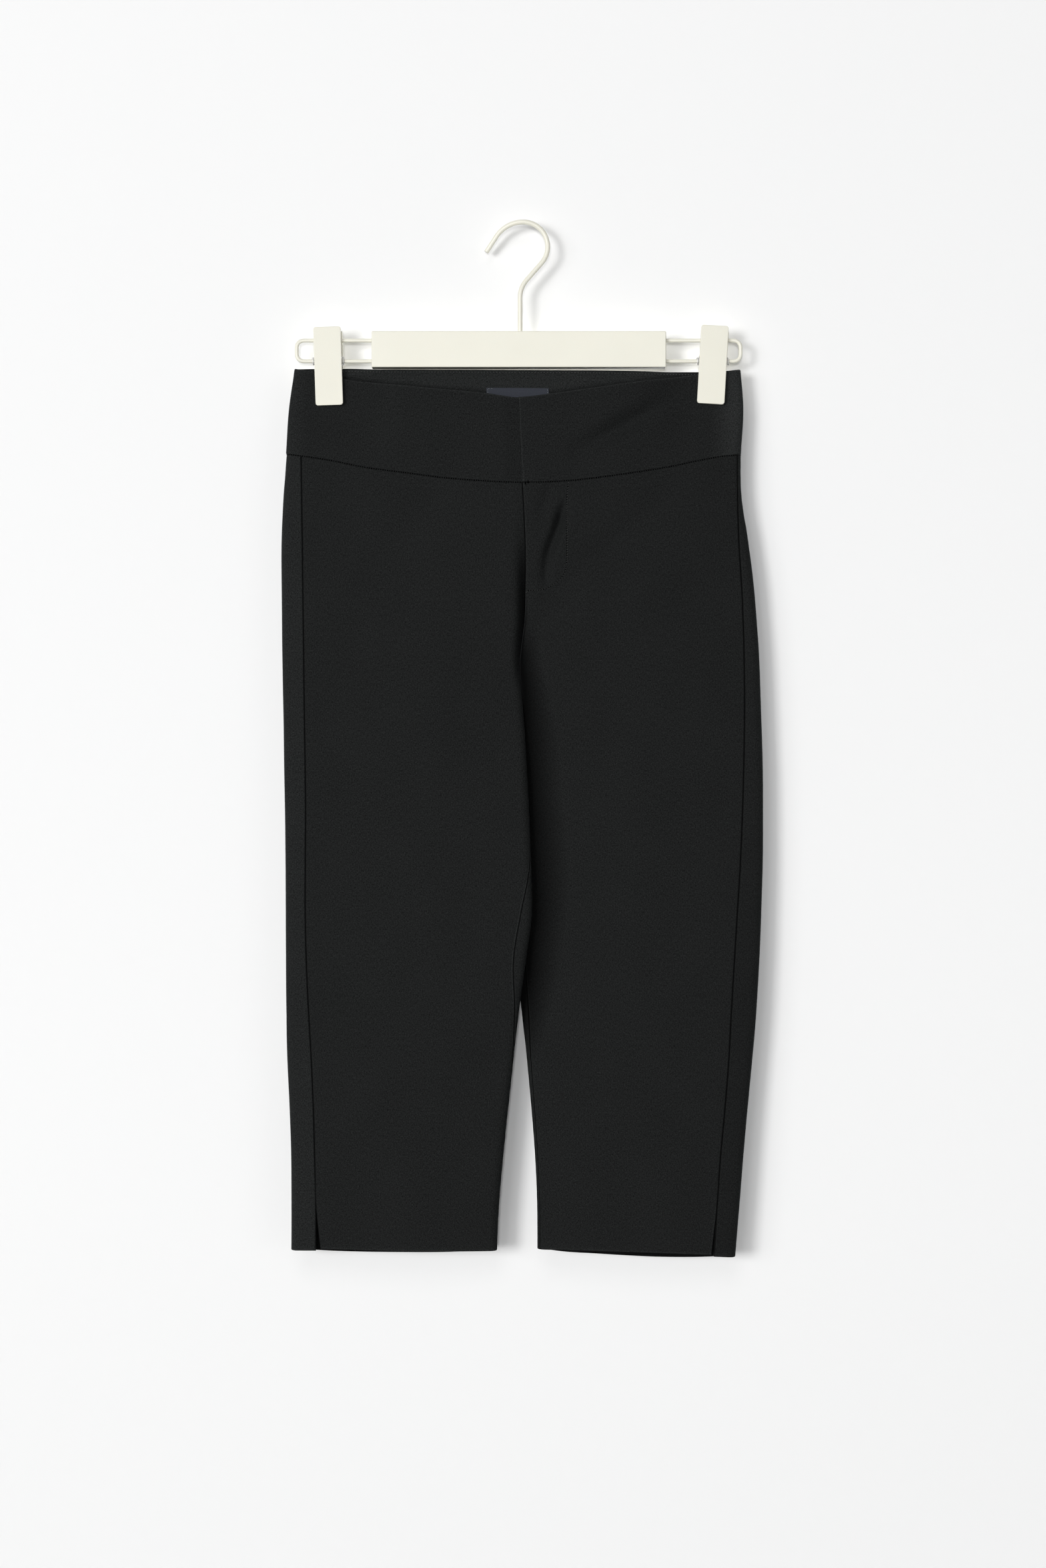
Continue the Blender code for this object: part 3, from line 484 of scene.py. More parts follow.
# The drop where something sets in and over how far it grows, then where it ends and over how far it fades.
reaches = {
    "sewnShut": (278.0, 24.0, clothForm["crotch"], 8.0),    # the centre edges below the lap
    "lapSewn": (296, 10, 374, 6),
    # rim, inseam, valleyFoot, strip, slit and hemInside are spans of painted light and shade; slitRidge is
    # of the slits' ridge
    "rim": (296, 30, 375, 15),
    "inseam": (470, 40, 690, 30),
    "valleyFoot": (390, 40),
    "strip": (400, 200),
    "slitRidge": (700, 60),
    "slit": (790, 20),
    "hemInside": (800, 25),
}


def within(name, drop):
    start, rise, *ending = reaches[name]
    made = softStep((drop - start) / rise)
    if ending:
        made = made * (1 - softStep((drop - ending[0]) / ending[1]))
    return made


def clothPiece(    # atStart says at which end of its rows the centre edge is
    name, path, start, end, across, down, topOf, bottomOf, faceAt, insideAt, lift, finish,
    paintedFaceShading=None, paintedInsideShading=None, atStart=True
):
    sheets = []
    for sheet, base in (("face", faceAt), ("inside", insideAt)):
        lengths = start[:, None] * (1 - across["share"]) + end[:, None] * across["share"] + across[sheet]
        laid = layRows(columnsAt(path, lengths), down["share"], down[sheet], topOf, bottomOf)
        sewn = 1 - within("sewnShut", laid["drop"]) * ((across["share"] < 0.5) == atStart)[None, :]
        laid["out"] = base + together(down[sheet + "Out"][:, None], across[sheet + "Out"][None, :] * sewn)
        at = np.clip((laid["drop"] - levels[0]) / clothForm["levelStep"], 0, len(levels) - 1)
        low = np.floor(at).astype(int)
        high = np.minimum(low + 1, len(levels) - 1)
        column = np.arange(len(across["share"]))[None, :]
        laid["length"] = blend(lengths[low, column], lengths[high, column], at - low)
        laid["fromStart"] = laid["length"] - np.interp(laid["drop"], levels, start)
        laid["fromEnd"] = np.interp(laid["drop"], levels, end) - laid["length"]
        sheets.append(laid)
    face, inside = sheets
    out, back = lift(face)
    slack = np.maximum(thinnest - (face["out"] - inside["out"]), 0) / 2
    face["out"] += out + slack
    inside["out"] += out - slack
    face["y"] += back
    inside["y"] += back
    # Painted light and shade on the face: the edges' own and the piece's own painted shading; the inside
    # gets only its own painted shading.
    face["shade"] = down["shade"][:, None] + across["shade"][None, :]
    if paintedFaceShading:
        face["shade"] = face["shade"] + paintedFaceShading(face)
    face["shade"] = np.clip(face["shade"], -0.92, 1)
    if paintedInsideShading:
        inside["shade"] = paintedInsideShading(inside)
    return shellMesh(name, face, inside, finish)


def shellMesh(name, face, inside, finish):
    rows, count = face["x"].shape
    points, grain = [], []
    for laid in (face, inside):
        x = laid["x"] + laid["nx"] * laid["out"]
        y = laid["y"] + laid["ny"] * laid["out"]
        points.append(np.stack([x, y, -laid["drop"]], axis=-1).reshape(-1, 3) * mm)
        grain.append(np.stack([laid["length"], laid["drop"]], axis=-1).reshape(-1, 2) * mm)
    points, grain = np.concatenate(points), np.concatenate(grain)
    index = np.arange(rows * count).reshape(rows, count)
    quads = np.stack([index[:-1, :-1], index[1:, :-1], index[1:, 1:], index[:-1, 1:]], -1).reshape(-1, 4)
    rim = np.concatenate([index[:-1, 0], index[-1, :-1], index[:0:-1, -1], index[0, :0:-1]])
    after = np.roll(rim, -1)
    other = rows * count
    mid = quads[len(quads) // 2]
    normal = np.cross(points[mid[1]] - points[mid[0]], points[mid[3]] - points[mid[0]])
    i, j = divmod(int(mid[0]), count)
    outside = normal @ np.array([face["nx"][i, j], face["ny"][i, j], 0]) > 0
    walls = np.stack([rim, rim + other, after + other, after], -1)
    faces = [quads, quads[:, ::-1] + other, walls]
    if not outside:
        faces = [part[:, ::-1] for part in faces]
    faces = np.concatenate(faces)
    mesh = bpy.data.meshes.new(name)
    mesh.from_pydata(points.tolist(), [], faces.tolist())
    # The inside sheet is marked so that it can be painted lighter than the face, standing in for the light
    # that reaches the waistband's facing; each point also carries its painted light and shade.
    wrongSide = mesh.attributes.new("wrongSide", "FLOAT", "POINT")
    wrongSide.data.foreach_set("value", np.repeat([0.0, 1.0], rows * count).astype(np.float32))
    plain = np.zeros((rows, count))
    shade = np.concatenate([laid.get("shade", plain).ravel() for laid in (face, inside)])
    mesh.attributes.new("shade", "FLOAT", "POINT").data.foreach_set("value", shade.astype(np.float32))
    weave = mesh.uv_layers.new(name="grain")
    weave.uv.foreach_set("vector", grain[faces.ravel()].astype(np.float32).ravel())
    mesh.shade_smooth()
    return addPiece(name, mesh, finish)


def addPiece(name, data, finish):
    piece = bpy.data.objects.new(name, data)
    data.materials.append(finish)
    bpy.context.scene.collection.objects.link(piece)
    return piece


def finishPiece(piece, slot, *nodes):
    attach(piece, "root")
    if nodes:
        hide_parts(*nodes)


sections = {side: halfSections(side) for side in halves}
print("form of the pants worked out:", len(levels), "levels")


def nodesOf(material):
    nodes, links = material.node_tree.nodes, material.node_tree.links
    return nodes, links, nodes["Principled BSDF"]


def newMaterial(name, color, roughness, specular=0.5):
    material = bpy.data.materials.new(name)
    material.use_nodes = True
    shader = nodesOf(material)[2]
    shader.inputs["Base Color"].default_value = (*color, 1)
    shader.inputs["Roughness"].default_value = roughness
    shader.inputs["Specular IOR Level"].default_value = specular
    return material


def noiseOf(material, source, stretch, scale, detail):    # noise on stretched coordinates
    nodes, links, _ = nodesOf(material)
    mapping = nodes.new("ShaderNodeMapping")
    mapping.inputs["Scale"].default_value = stretch
    links.new(source, mapping.inputs["Vector"])
    noise = nodes.new("ShaderNodeTexNoise")
    noise.inputs["Scale"].default_value = scale
    noise.inputs["Detail"].default_value = detail
    links.new(mapping.outputs["Vector"], noise.inputs["Vector"])
    return noise.outputs["Fac"]


def evenNoise(material, scale, detail):    # noise on the piece's own coordinates
    coord = nodesOf(material)[0].new("ShaderNodeTexCoord")
    return noiseOf(material, coord.outputs["Object"], (1, 1, 1), scale, detail)


def relieve(material, height, strength, distance=0.0001):    # relief from a texture's height
    nodes, links, shader = nodesOf(material)
    rise = nodes.new("ShaderNodeBump")
    rise.inputs["Strength"].default_value = strength
    rise.inputs["Distance"].default_value = distance
    links.new(height, rise.inputs["Height"])
    links.new(rise.outputs["Normal"], shader.inputs["Normal"])


def colorBetween(material, factor, a, b):
    nodes, links, _ = nodesOf(material)
    mix = nodes.new("ShaderNodeMix")
    mix.data_type = "RGBA"
    links.new(factor, mix.inputs["Factor"])
    mix.inputs["A"].default_value = (*a, 1)
    mix.inputs["B"].default_value = (*b, 1)
    return mix.outputs["Result"]


def mathNode(material, kind, a, b):
    nodes, links, _ = nodesOf(material)
    node = nodes.new("ShaderNodeMath")
    node.operation = kind
    for socket, value in zip(node.inputs, (a, b)):
        if isinstance(value, (int, float)):
            socket.default_value = value
        else:
            links.new(value, socket)
    return node.outputs[0]


suiting = {
    "dark": (0.0040, 0.0044, 0.0044),
    "light": (0.0206, 0.0219, 0.0218),
    # how much lighter the inside of the cloth is painted, as painted light
    "wrongSide": 1.5,
    "roughness": 0.9,
    "specular": 0.045,
    "sheen": 0.02,
    "warp": {"perMetre": 1850, "stretch": (1, 0.40, 1), "detail": 1.0},    # threads down the leg
    "weft": {"perMetre": 1700, "stretch": (0.5, 1, 1), "detail": 1.0, "share": 0.8},    # threads across
    "slubs": {"perMetre": 900, "stretch": (1, 0.35, 1), "detail": 1.0, "share": 0.35},
    "cloud": {"perMetre": 26, "stretch": (1, 0.7, 1), "detail": 2.0, "share": 0.10},
    "spread": (0.79, 1.51),    # the sums of the threads' noise that are darkest and lightest
    "bump": 0.5,
}


def suitingMaterial(name, setting):
    material = newMaterial(name, setting["light"], setting["roughness"], setting["specular"])
    nodes, links, shader = nodesOf(material)
    grain = nodes.new("ShaderNodeUVMap")
    grain.uv_map = "grain"

    def noise(part):
        made = setting[part]
        return noiseOf(material, grain.outputs["UV"], made["stretch"], made["perMetre"], made["detail"])

    def adding(base, part):
        share = mathNode(material, "MULTIPLY", noise(part), setting[part]["share"])
        return mathNode(material, "ADD", base, share)

    woven = adding(noise("warp"), "weft")
    mixed = adding(adding(woven, "slubs"), "cloud")
    spread = nodes.new("ShaderNodeMapRange")
    spread.inputs["From Min"].default_value, spread.inputs["From Max"].default_value = setting["spread"]
    links.new(mixed, spread.inputs["Value"])
    color = colorBetween(material, spread.outputs["Result"], setting["dark"], setting["light"])
    # Painted light: the inside sheet is painted lighter, and each point's painted light and shade is added
    # to the scale of the weave's colour.
    back = nodes.new("ShaderNodeAttribute")
    back.attribute_name = "wrongSide"
    lighter = mathNode(material, "MULTIPLY", back.outputs["Fac"], setting["wrongSide"] - 1)
    lighter = mathNode(material, "ADD", lighter, 1.0)
    edges = nodes.new("ShaderNodeAttribute")
    edges.attribute_name = "shade"
    lighter = mathNode(material, "ADD", lighter, edges.outputs["Fac"])
    scaled = nodes.new("ShaderNodeVectorMath")
    scaled.operation = "SCALE"
    links.new(color, scaled.inputs[0])
    links.new(lighter, scaled.inputs["Scale"])
    links.new(scaled.outputs["Vector"], shader.inputs["Base Color"])
    relieve(material, woven, setting["bump"], 0.00015)
    shader.inputs["Sheen Weight"].default_value = setting["sheen"]
    shader.inputs["Sheen Roughness"].default_value = 0.5
    shader.inputs["Sheen Tint"].default_value = (0.85, 0.92, 0.95, 1)
    return material


blackSuiting = suitingMaterial("black suiting", suiting)

# The legs. Lengths are in millimetres, and the cuts laid flat in metres.
legCut = {
    "thick": 0.8,
    "columns": {"front": 112, "back": 92},
    "crowd": {"front": 0.6, "back": 0.0},    # columns closer together at the centre front
    "rows": 215,
    "seamRidge": 0.22,       # the pressed allowance beside a seam
    "allowance": 9.0,
    "pucker": 0.10,
    "puckers": {"start": (13, 0.4), "end": (11, 2.0), "waist": (8, 0.0)},    # wavelength and phase
    "uneven": 0.28,
    "lapReach": 32.0,
    "sewnWide": 1.1,
    "tack": {"drop": 299.5, "beside": 1.0, "squash": 0.8, "deep": 0.9, "wide": 3.5},
    "lap": table(    # how far the lap of the left front stands out, and the right front sinks beside it
        "drop lift sink reach",
        (200, 0.9, 0.50, 4.0),
        (235, 1.0, 0.80, 4.5),
        (252, 1.1, 2.00, 6.2),
        (262, 1.2, 3.60, 6.2),
        (272, 1.3, 5.60, 6.0),
        (284, 1.5, 8.00, 5.6),
        (298, 1.6, 9.60, 5.0),
        (312, 1.4, 10.0, 4.6),
        (330, 0.9, 9.00, 4.4),
        (348, 0.2, 5.60, 4.4),
        (366, 0.0, 1.60, 4.4),
        (380, 0.0, 0.00, 4.4),
    ),
    "flat": {
        "front_right": (0.189, 0.654, 0.910),
        "front_left": (0.187, 0.654, 0.906),
        "back_right": (0.242, 0.656, 0.916),
        "back_left": (0.242, 0.660, 0.897),
    },
}


def seamRidge(away):
    return legCut["seamRidge"] * (1 - softStep((away - legCut["allowance"]) / 3))


def pucker(along, away, wavelength, phase):
    wobble = np.sin(2 * np.pi * along / wavelength + phase + 1.7 * np.sin(along / (2.3 * wavelength)))
    return legCut["pucker"] * wobble * np.exp(-away / (0.45 * wavelength))


def uneven(along, drop, amount):    # the slight unevenness of hanging cloth, in millimetres
    waves = np.sin(along / 11.0 + 0.6 * np.sin(drop / 23.0)) * np.sin(drop / 29.0 + 1.1)
    waves = waves + 0.8 * np.sin(along / 19.0 - drop / 41.0 + 0.7) + 0.5 * np.sin(along / 6.5 + drop / 17.0)
    return amount * waves / 2


def lapAt(drop):
    lap = legCut["lap"]
    return {name: curve(lap["drop"], lap[name], drop) for name in ("lift", "sink", "reach")}


def lapForward(away, drop):
    return lapAt(drop)["lift"] * (1 - softStep(away / legCut["lapReach"]))


def lapBack(away, drop):
    lap = lapAt(drop)
    return lap["sink"] * np.exp(-((away / lap["reach"]) ** 1.9))


def legLift(side, panel):
    puckers, tack = legCut["puckers"], legCut["tack"]

    def lift(laid):    # how far the cloth moves out, and how far back
        drop = laid["drop"]
        start, end = np.maximum(laid["fromStart"], 0), np.maximum(laid["fromEnd"], 0)
        below = drop - waistDrop(frontSeam, backSeam, laid["x"], laid["turn"])
        out = pucker(drop, start, *puckers["start"]) + pucker(drop, end, *puckers["end"])
        out = out + seamRidge(start) + seamRidge(end) * (1 - 0.5 * within("slitRidge", drop))
        out = out + pucker(laid["length"], np.maximum(below, 0), *puckers["waist"])
        out = out + uneven(laid["length"], drop, legCut["uneven"]) * softStep(below / 20)
        if panel == "back":
            return out, 0
        if side == "right":
            return out, lapBack(start, drop)
        forward = lapForward(start, drop)
        sewn = within("lapSewn", drop) * (1 - softStep(start / legCut["sewnWide"]))
        away = np.hypot(start - tack["beside"], (drop - tack["drop"]) * tack["squash"])
        pulled = tack["deep"] * bump(away, tack["wide"])
        return out, pulled - forward + sewn * (forward + lapBack(0, drop))

    return lift


# Painted shadow: the left leg is painted darker towards the right one, which hangs before it and shades it:
# how wide and how strongly.
paintedValleyShadow = table(
    "drop  wide  dark",
    (312, 10.0, 0.00), (328, 14.0, 0.28), (340, 17.0, 0.66), (352, 19.0, 1.02), (368, 22.0, 1.10),
    (390, 25.0, 1.06), (415, 28.0, 1.04), (470, 30.0, 1.00), (524, 32.0, 0.98), (578, 30.0, 1.00),
    (627, 29.0, 1.08), (655, 25.0, 0.95), (690, 17.0, 0.45), (730, 10.0, 0.00),
)


# Painted light and shade beside an edge: how much lighter (+) or darker (-) the cloth is painted, at which
# distance, and how wide.
paintedEdgeShading = {
    "valleyFoot": (0.4, 0.0, 3.5),    # as a share of the valley's own shade
    # rim is painted shade on the lap's lit edge, slit a painted highlight beside the slits, inseam a
    # painted highlight line beside the inseam, and lapInside painted shadow on the lap's turned edge
    "rim": (-0.9, 0.0, 1.7),
    "slit": (0.5, 0.9, 0.6),
    "inseam": (2.1, 0.6, 0.5),
    "lapInside": (-1.4, 0.0, 1.6),
}
# Painted light and shade on the legs: the backs' strips on the front painted lighter on the right leg and
# darker on the left, by how they turn to the light; the whole left front painted a little darker; painted
# shade in the groove where the right front sinks; how far past the right leg's inner fold the painted
# valley shadow is measured from; and painted shadow inside the backs' hems.
paintedLegShading = {
    "strip": {"right": 0.22, "left": -0.12},    # a back's strip on the front, up to the turn below
    "stripTurn": 1.2,
    "leftFront": -0.03,
    "sunk": (0.07, 0.7),    # for each millimetre that the right front sinks, and at most
    "pastFold": 1.5,
    "hemInside": -1.2,
}


def paintedShadeBeside(name, away):
    high, middle, width = paintedEdgeShading[name]
    return high * bump(away - middle, width)


# Painted light and shade on a leg piece: the right leg's painted shadow on the left leg, painted light and
# shade beside edges, on the backs' strips and in the right front's groove.
def paintedLegShade(side, panel):
    other = halves["right"]

    # the right leg's painted shadow, falling on the left leg beside it
    def valley(laid):
        away = laid["x"] - curve(other["drop"], other["inner"], laid["drop"]) + paintedLegShading["pastFold"]
        away = np.maximum(away, 0)
        wide, dark = (curve(paintedValleyShadow["drop"], paintedValleyShadow[key], laid["drop"]) for key in ("wide", "dark"))
        foot = within("valleyFoot", laid["drop"]) * paintedShadeBeside("valleyFoot", away)
        return dark * np.clip(1 - away / wide, 0, 1) * (1 - foot)

    def shade(laid):
        drop, start = laid["drop"], np.maximum(laid["fromStart"], 0)
        strip = paintedLegShading["strip"][side] * (laid["turn"] < paintedLegShading["stripTurn"])
        if (side, panel) == ("right", "back"):
            return strip
        if (side, panel) == ("left", "back"):
            return strip * within("strip", drop) - valley(laid) * (laid["turn"] > 2)
        if side == "left":
            rim = within("rim", drop) * paintedShadeBeside("rim", start)
            slit = within("slit", drop) * paintedShadeBeside("slit", laid["fromEnd"])
            return slit + paintedLegShading["leftFront"] - valley(laid) + rim
        dark, most = paintedLegShading["sunk"]
        light = within("inseam", drop) * paintedShadeBeside("inseam", laid["fromStart"])
        return light - np.minimum(dark * lapBack(start, drop), most)

    return shade


def paintedLapShadow(laid):    # painted shadow on the turned edge of the lap
    return paintedShadeBeside("lapInside", np.maximum(laid["fromStart"], 0))


def paintedHemShadow(laid):    # painted shadow on the inside of a back's hem, between the two layers
    return paintedLegShading["hemInside"] * within("hemInside", laid["drop"])


def leg(side, panel):
    name = f"{panel}_{side}"
    path, hem = sections[side], hems[f"{panel}_{side}"]
    cut, whole = path["cut"], path["length"][:, -1]

    def lengthAt(x):
        turn = abs(x - path["inner"]) / path["width"]
        rows = zip(turn, path["turn"], path["length"])
        return np.array([np.interp(wanted, turns, lengths) for wanted, turns, lengths in rows])

    inseam = np.where(levels > clothForm["crotch"], cut["inseam"], 0)
    if panel == "front":
        start, end = inseam, lengthAt(cut["side"])
    else:
        start, end = lengthAt(cut["strip"]), whole + inseam
    centre = "lapped" if (side, panel) == ("left", "front") else "seam"
    across = spacing(centre, "seam", legCut["columns"][panel], legCut["crowd"][panel])
    down = spacing("tucked", "hem", legCut["rows"])

    def topOf(x, turn):
        return waistDrop(frontSeam, backSeam, x, turn)

    def bottomOf(x, turn):
        return curve(hem["turn"], hem["drop"], turn)

    piece = clothPiece(
        name.replace("_", "Leg_"), path, start, end, across, down, topOf, bottomOf,
        0.0, -legCut["thick"], legLift(side, panel), blackSuiting, paintedLegShade(side, panel),
        paintedLapShadow if centre == "lapped" else paintedHemShadow if panel == "back" else None,
        panel == "front",
    )
    finishPiece(piece, "cloth", name)


for side in ("right", "left"):
    for panel in ("front", "back"):
        leg(side, panel)
    print("leg sewn:", side)

# Sewing thread: how far one stitch is from the next, its length, half its thickness, and its rise; also
# how early in its place it comes, how flat it is, and how much its thickness varies.
threads = {
    "waist": {"pitch": 1.86, "long": 0.75, "radius": 0.30, "rise": 0.10, "early": 0.5, "vary": 0.25},
    # The waist seam's and the fly's hole threads are sewn in near-black, as painted shade in the needle
    # holes and in the groove beside the fly stitches.
    "waistHole": {"pitch": 1.86, "long": 0.92, "radius": 0.35, "rise": 0.02, "flat": 0.35, "vary": 0.3},
    "under": {"pitch": 2.5, "long": 1.25, "radius": 0.32, "rise": 0.14},
    "fly": {"pitch": 2.04, "long": 0.95, "radius": 0.31, "rise": 0.14},
    "hole": {"pitch": 2.04, "long": 0.95, "radius": 0.38, "rise": 0.02, "flat": 0.3, "early": 0.5},
    "label": {"pitch": 1.9, "long": 1.5, "radius": 0.20, "rise": 0.12},
}

# The faced waistband. Its right half runs on under the lap of the left one.
bandCut = {
    "face": 0.5,
    "inside": -1.3,
    "columns": 206,
    "rows": 24,
    "underlap": 28.0,
    "ramp": 15.0,
    "sink": 2.2,
    "underSink": 0.9,
    "lapLift": 1.1,
    "lapReach": 30.0,
    "uneven": 0.16,
    "ripple": (0.07, 1.2),    # with the stitches: how high, and how far from the seam
    "pucker": (9, 0.7),
    "flat": {"right": (0.418, 0.072, 0.98), "left": (0.370, 0.0735, 0.985)},
    # The next three are painted light and shade: a painted sheen, lighter towards the band's side folds,
    # and a painted shadow on the back's facing from just over the front's edge down.
    "ends": ((1, 148, 24, 0.62), (-1, 172, 14, 0.25)),    # way, from which x, over how far, how much
    "facingSteps": ((9.0, 9.0, 0.10), (3.0, 2.6, 0.60)),    # from how far above, over how far, how much
    "showing": (3.562, 172, 2.2),    # the back's facing over the front: how high, how wide, how square
}


def bandTop(x, turn):
    return waistDrop(frontTop, backTop, x, turn)


def bandBottom(x, turn):
    return waistDrop(frontSeam, backSeam, x, turn)


def bandHalf(side):
    path = sections[side]
    none, whole = np.zeros(len(levels)), path["length"][:, -1]
    down = spacing("rolled", "turned", bandCut["rows"])
    across = spacing("fold" if side == "left" else "raw", "centre", bandCut["columns"])
    if side == "right":
        path = withUnderlap(path, sections["left"])
        whole = path["length"][:, -1]

    def lift(laid):
        below = bandBottom(laid["x"], laid["turn"]) - laid["drop"]
        high, wide = bandCut["ripple"]
        made = high * np.sin(2 * np.pi * laid["length"] / threads["waist"]["pitch"]) * bump(below, wide)
        made = made + pucker(laid["length"], np.maximum(below, 0), *bandCut["pucker"])
        made = made + uneven(laid["length"], laid["drop"], bandCut["uneven"])
        if side == "right":
            return made, 0
        return made, -bandCut["lapLift"] * (1 - softStep(laid["fromStart"] / bandCut["lapReach"]))

    piece = clothPiece(
        f"waistband{side.capitalize()}", path, none, whole, across, down, bandTop, bandBottom,
        bandCut["face"], bandCut["inside"], lift, blackSuiting, paintedBandSheen, paintedFacingShadow,
    )
    finishPiece(piece, "cloth", f"waistband_{side}")


def paintedBandSheen(laid):    # painted sheen: lighter towards the side folds, where the cloth turns
    ends = sum(softStep((way * laid["x"] - x) / rise) * high for way, x, rise, high in bandCut["ends"])
    return np.where(laid["turn"] < 1.1, ends, 0)


def paintedFacingShadow(laid):    # painted shadow: the facing of the back is darker from just over the front's edge down
    high, wide, square = bandCut["showing"]
    edge = curve(frontTop["x"], frontTop["drop"], laid["x"])
    below = laid["drop"] - edge + high * np.clip(1 - abs(laid["x"] / wide) ** square, 0, 1)
    dark = sum(softStep((below + above) / rise) * much for above, rise, much in bandCut["facingSteps"])
    return np.where(laid["turn"] > 1, -dark, 0)


def withUnderlap(path, other):    # the right half's sections with the hidden end laid before them
    reach = np.linspace(bandCut["underlap"], 0.2, 60)
    under = columnsAt(other, np.tile(reach, (len(levels), 1)))
    deep = bandCut["sink"] + bandCut["underSink"] * softStep(reach / bandCut["lapReach"])
    own = bandCut["sink"] * (1 - softStep(path["length"] / bandCut["ramp"]))
    made = {name: np.concatenate([under[name], path[name]], axis=1) for name in sectionNames}
    sunk = np.concatenate([np.tile(deep, (len(levels), 1)), own], axis=1)
    made["x"] = made["x"] - made["nx"] * sunk
    made["y"] = made["y"] - made["ny"] * sunk
    made["length"] = lengthsAlong(made["x"], made["y"])
    return made


for side in ("right", "left"):
    bandHalf(side)
print("waistband set on")


# Pieces that lie across a centre seam, on the inside of the pants. Their lengths count from grainShift.
grainShift = 200
rimWide = 40    # about how wide they are, for the rounding of their side edges


def acrossSeam(name, cut, topOf, fromBack, finish):
    def bottomOf(x, turn):
        return cut["bottom"] + 0 * x

    share = edgesAnd(cut["columns"])
    along = blend(-cut["right"], cut["left"], share)
    columns = {key: np.zeros((len(levels), len(along))) for key in sectionNames}
    for j, distance in enumerate(along):
        path = sections["right" if distance < 0 else "left"]
        for level in range(len(levels)):
            length = path["length"][level]
            where = length[-1] - abs(distance) if fromBack else abs(distance)
            for key in sectionNames:
                columns[key][level, j] = np.interp(where, length, path[key][level])
    down = edgesAnd(cut["rows"])
    laid = layRows(columns, down, np.zeros(len(down)), topOf, bottomOf)
    laid["length"] = np.tile(along + grainShift, (len(down), 1))
    rim = np.minimum.outer(np.minimum(down, 1 - down) * cut["tall"], np.minimum(share, 1 - share) * rimWide)
    thin = cut["thick"] * 0.5 * (1 - quarterRound(rim / (0.5 * cut["thick"]))) * 0.9
    if not fromBack:
        laid["y"] += lapBack(abs(along)[None, :], laid["drop"])
    face, inside = dict(laid), dict(laid)
    face["out"] = cut["outer"] - thin + cut["wave"](laid)
    inside["out"] = cut["outer"] - cut["thick"] + thin + cut["wave"](laid)
    return shellMesh(name, face, inside, finish)


def edgesAnd(count):    # shares that crowd at both ends
    inner = np.linspace(0.02, 0.98, count)
    return np.concatenate([[0, 0.002, 0.006, 0.012], inner, [0.988, 0.994, 0.998, 1]])


def underWaistSeam(x, turn):    # the top edge of the zip and its shield
    return curve(frontSeam["x"], frontSeam["drop"], x) + zipTeeth["below"]


shieldCut = {
    "right": 14.0, "left": 34.0, "bottom": 292.0, "thick": 0.9, "outer": -3.4,
    "columns": 26, "rows": 44, "tall": 80,
    "wave": lambda laid: 0.12 * np.sin(laid["drop"] / 9.0) * np.sin(laid["length"] / 7.0),
    "flat": (0.048, 0.084, 0.99),
}
tapeCut = {
    "right": 11.0, "left": 15.0, "bottom": 280.0, "thick": 0.55, "outer": -2.05,
    "columns": 18, "rows": 40, "tall": 76,
    "wave": lambda laid: 0.05 * np.sin(laid["drop"] / 6.0),
}
zipTeeth = {    # sizes as wide, thick and tall, with the rounding of their edges
    "pitch": 1.5, "size": (2.4, 1.1, 0.95), "edge": 0.2, "reach": 0.9, "outer": -2.0, "under": 4.0,
    "below": 2.5, "first": 9.0, "last": 3.0,
    "slider": {"size": (6.5, 2.2, 8.0), "edge": 0.6, "deep": 0.9, "back": 0.5, "up": 4.0},
    "pull": {"size": (4.0, 0.9, 3.0), "edge": 0.3, "up": 5.2},
}


def shield():
    piece = acrossSeam("flyShield", shieldCut, underWaistSeam, False, blackSuiting)
    finishPiece(piece, "cloth", "fly_shield")


def onFront(side, x, drop):    # distance round from the centre front, at an x of the front
    path = sections[side]
    level = int(round((drop - levels[0]) / clothForm["levelStep"]))
    front = path["turn"][level] <= 1
    away = np.maximum.accumulate(abs(path["x"][level][front] - path["x"][level][0]))
    return np.interp(abs(x - path["x"][level][0]), away, path["length"][level][front])


def onForm(side, along, drop, fromBack=False):    # points and normals at distances round a half
    path = sections[side]
    made = {name: [] for name in sectionNames}
    lows = np.clip((drop - levels[0]) / clothForm["levelStep"], 0, len(levels) - 1.01)
    for distance, low in zip(along, lows):
        first = int(low)
        for name in sectionNames:
            pair = []
            for level in (first, first + 1):
                length = path["length"][level]
                where = length[-1] - distance if fromBack else distance
                pair.append(np.interp(where, length, path[name][level]))
            made[name].append(blend(pair[0], pair[1], low - first))
    made = {name: np.array(values) for name, values in made.items()}
    points = np.stack([made["x"], made["y"], -np.asarray(drop, float)], axis=-1)
    normals = np.stack([made["nx"], made["ny"], np.zeros(len(points))], axis=-1)
    return points, normals


def meshOf(name, points, faces, finish):    # points in millimetres
    mesh = bpy.data.meshes.new(name)
    mesh.from_pydata((np.asarray(points) * mm).tolist(), [], [list(face) for face in faces])
    mesh.shade_smooth()
    return addPiece(name, mesh, finish)


def meshFrom(solid, name):    # a bmesh as a mesh
    mesh = bpy.data.meshes.new(name)
    solid.to_mesh(mesh)
    solid.free()
    return mesh


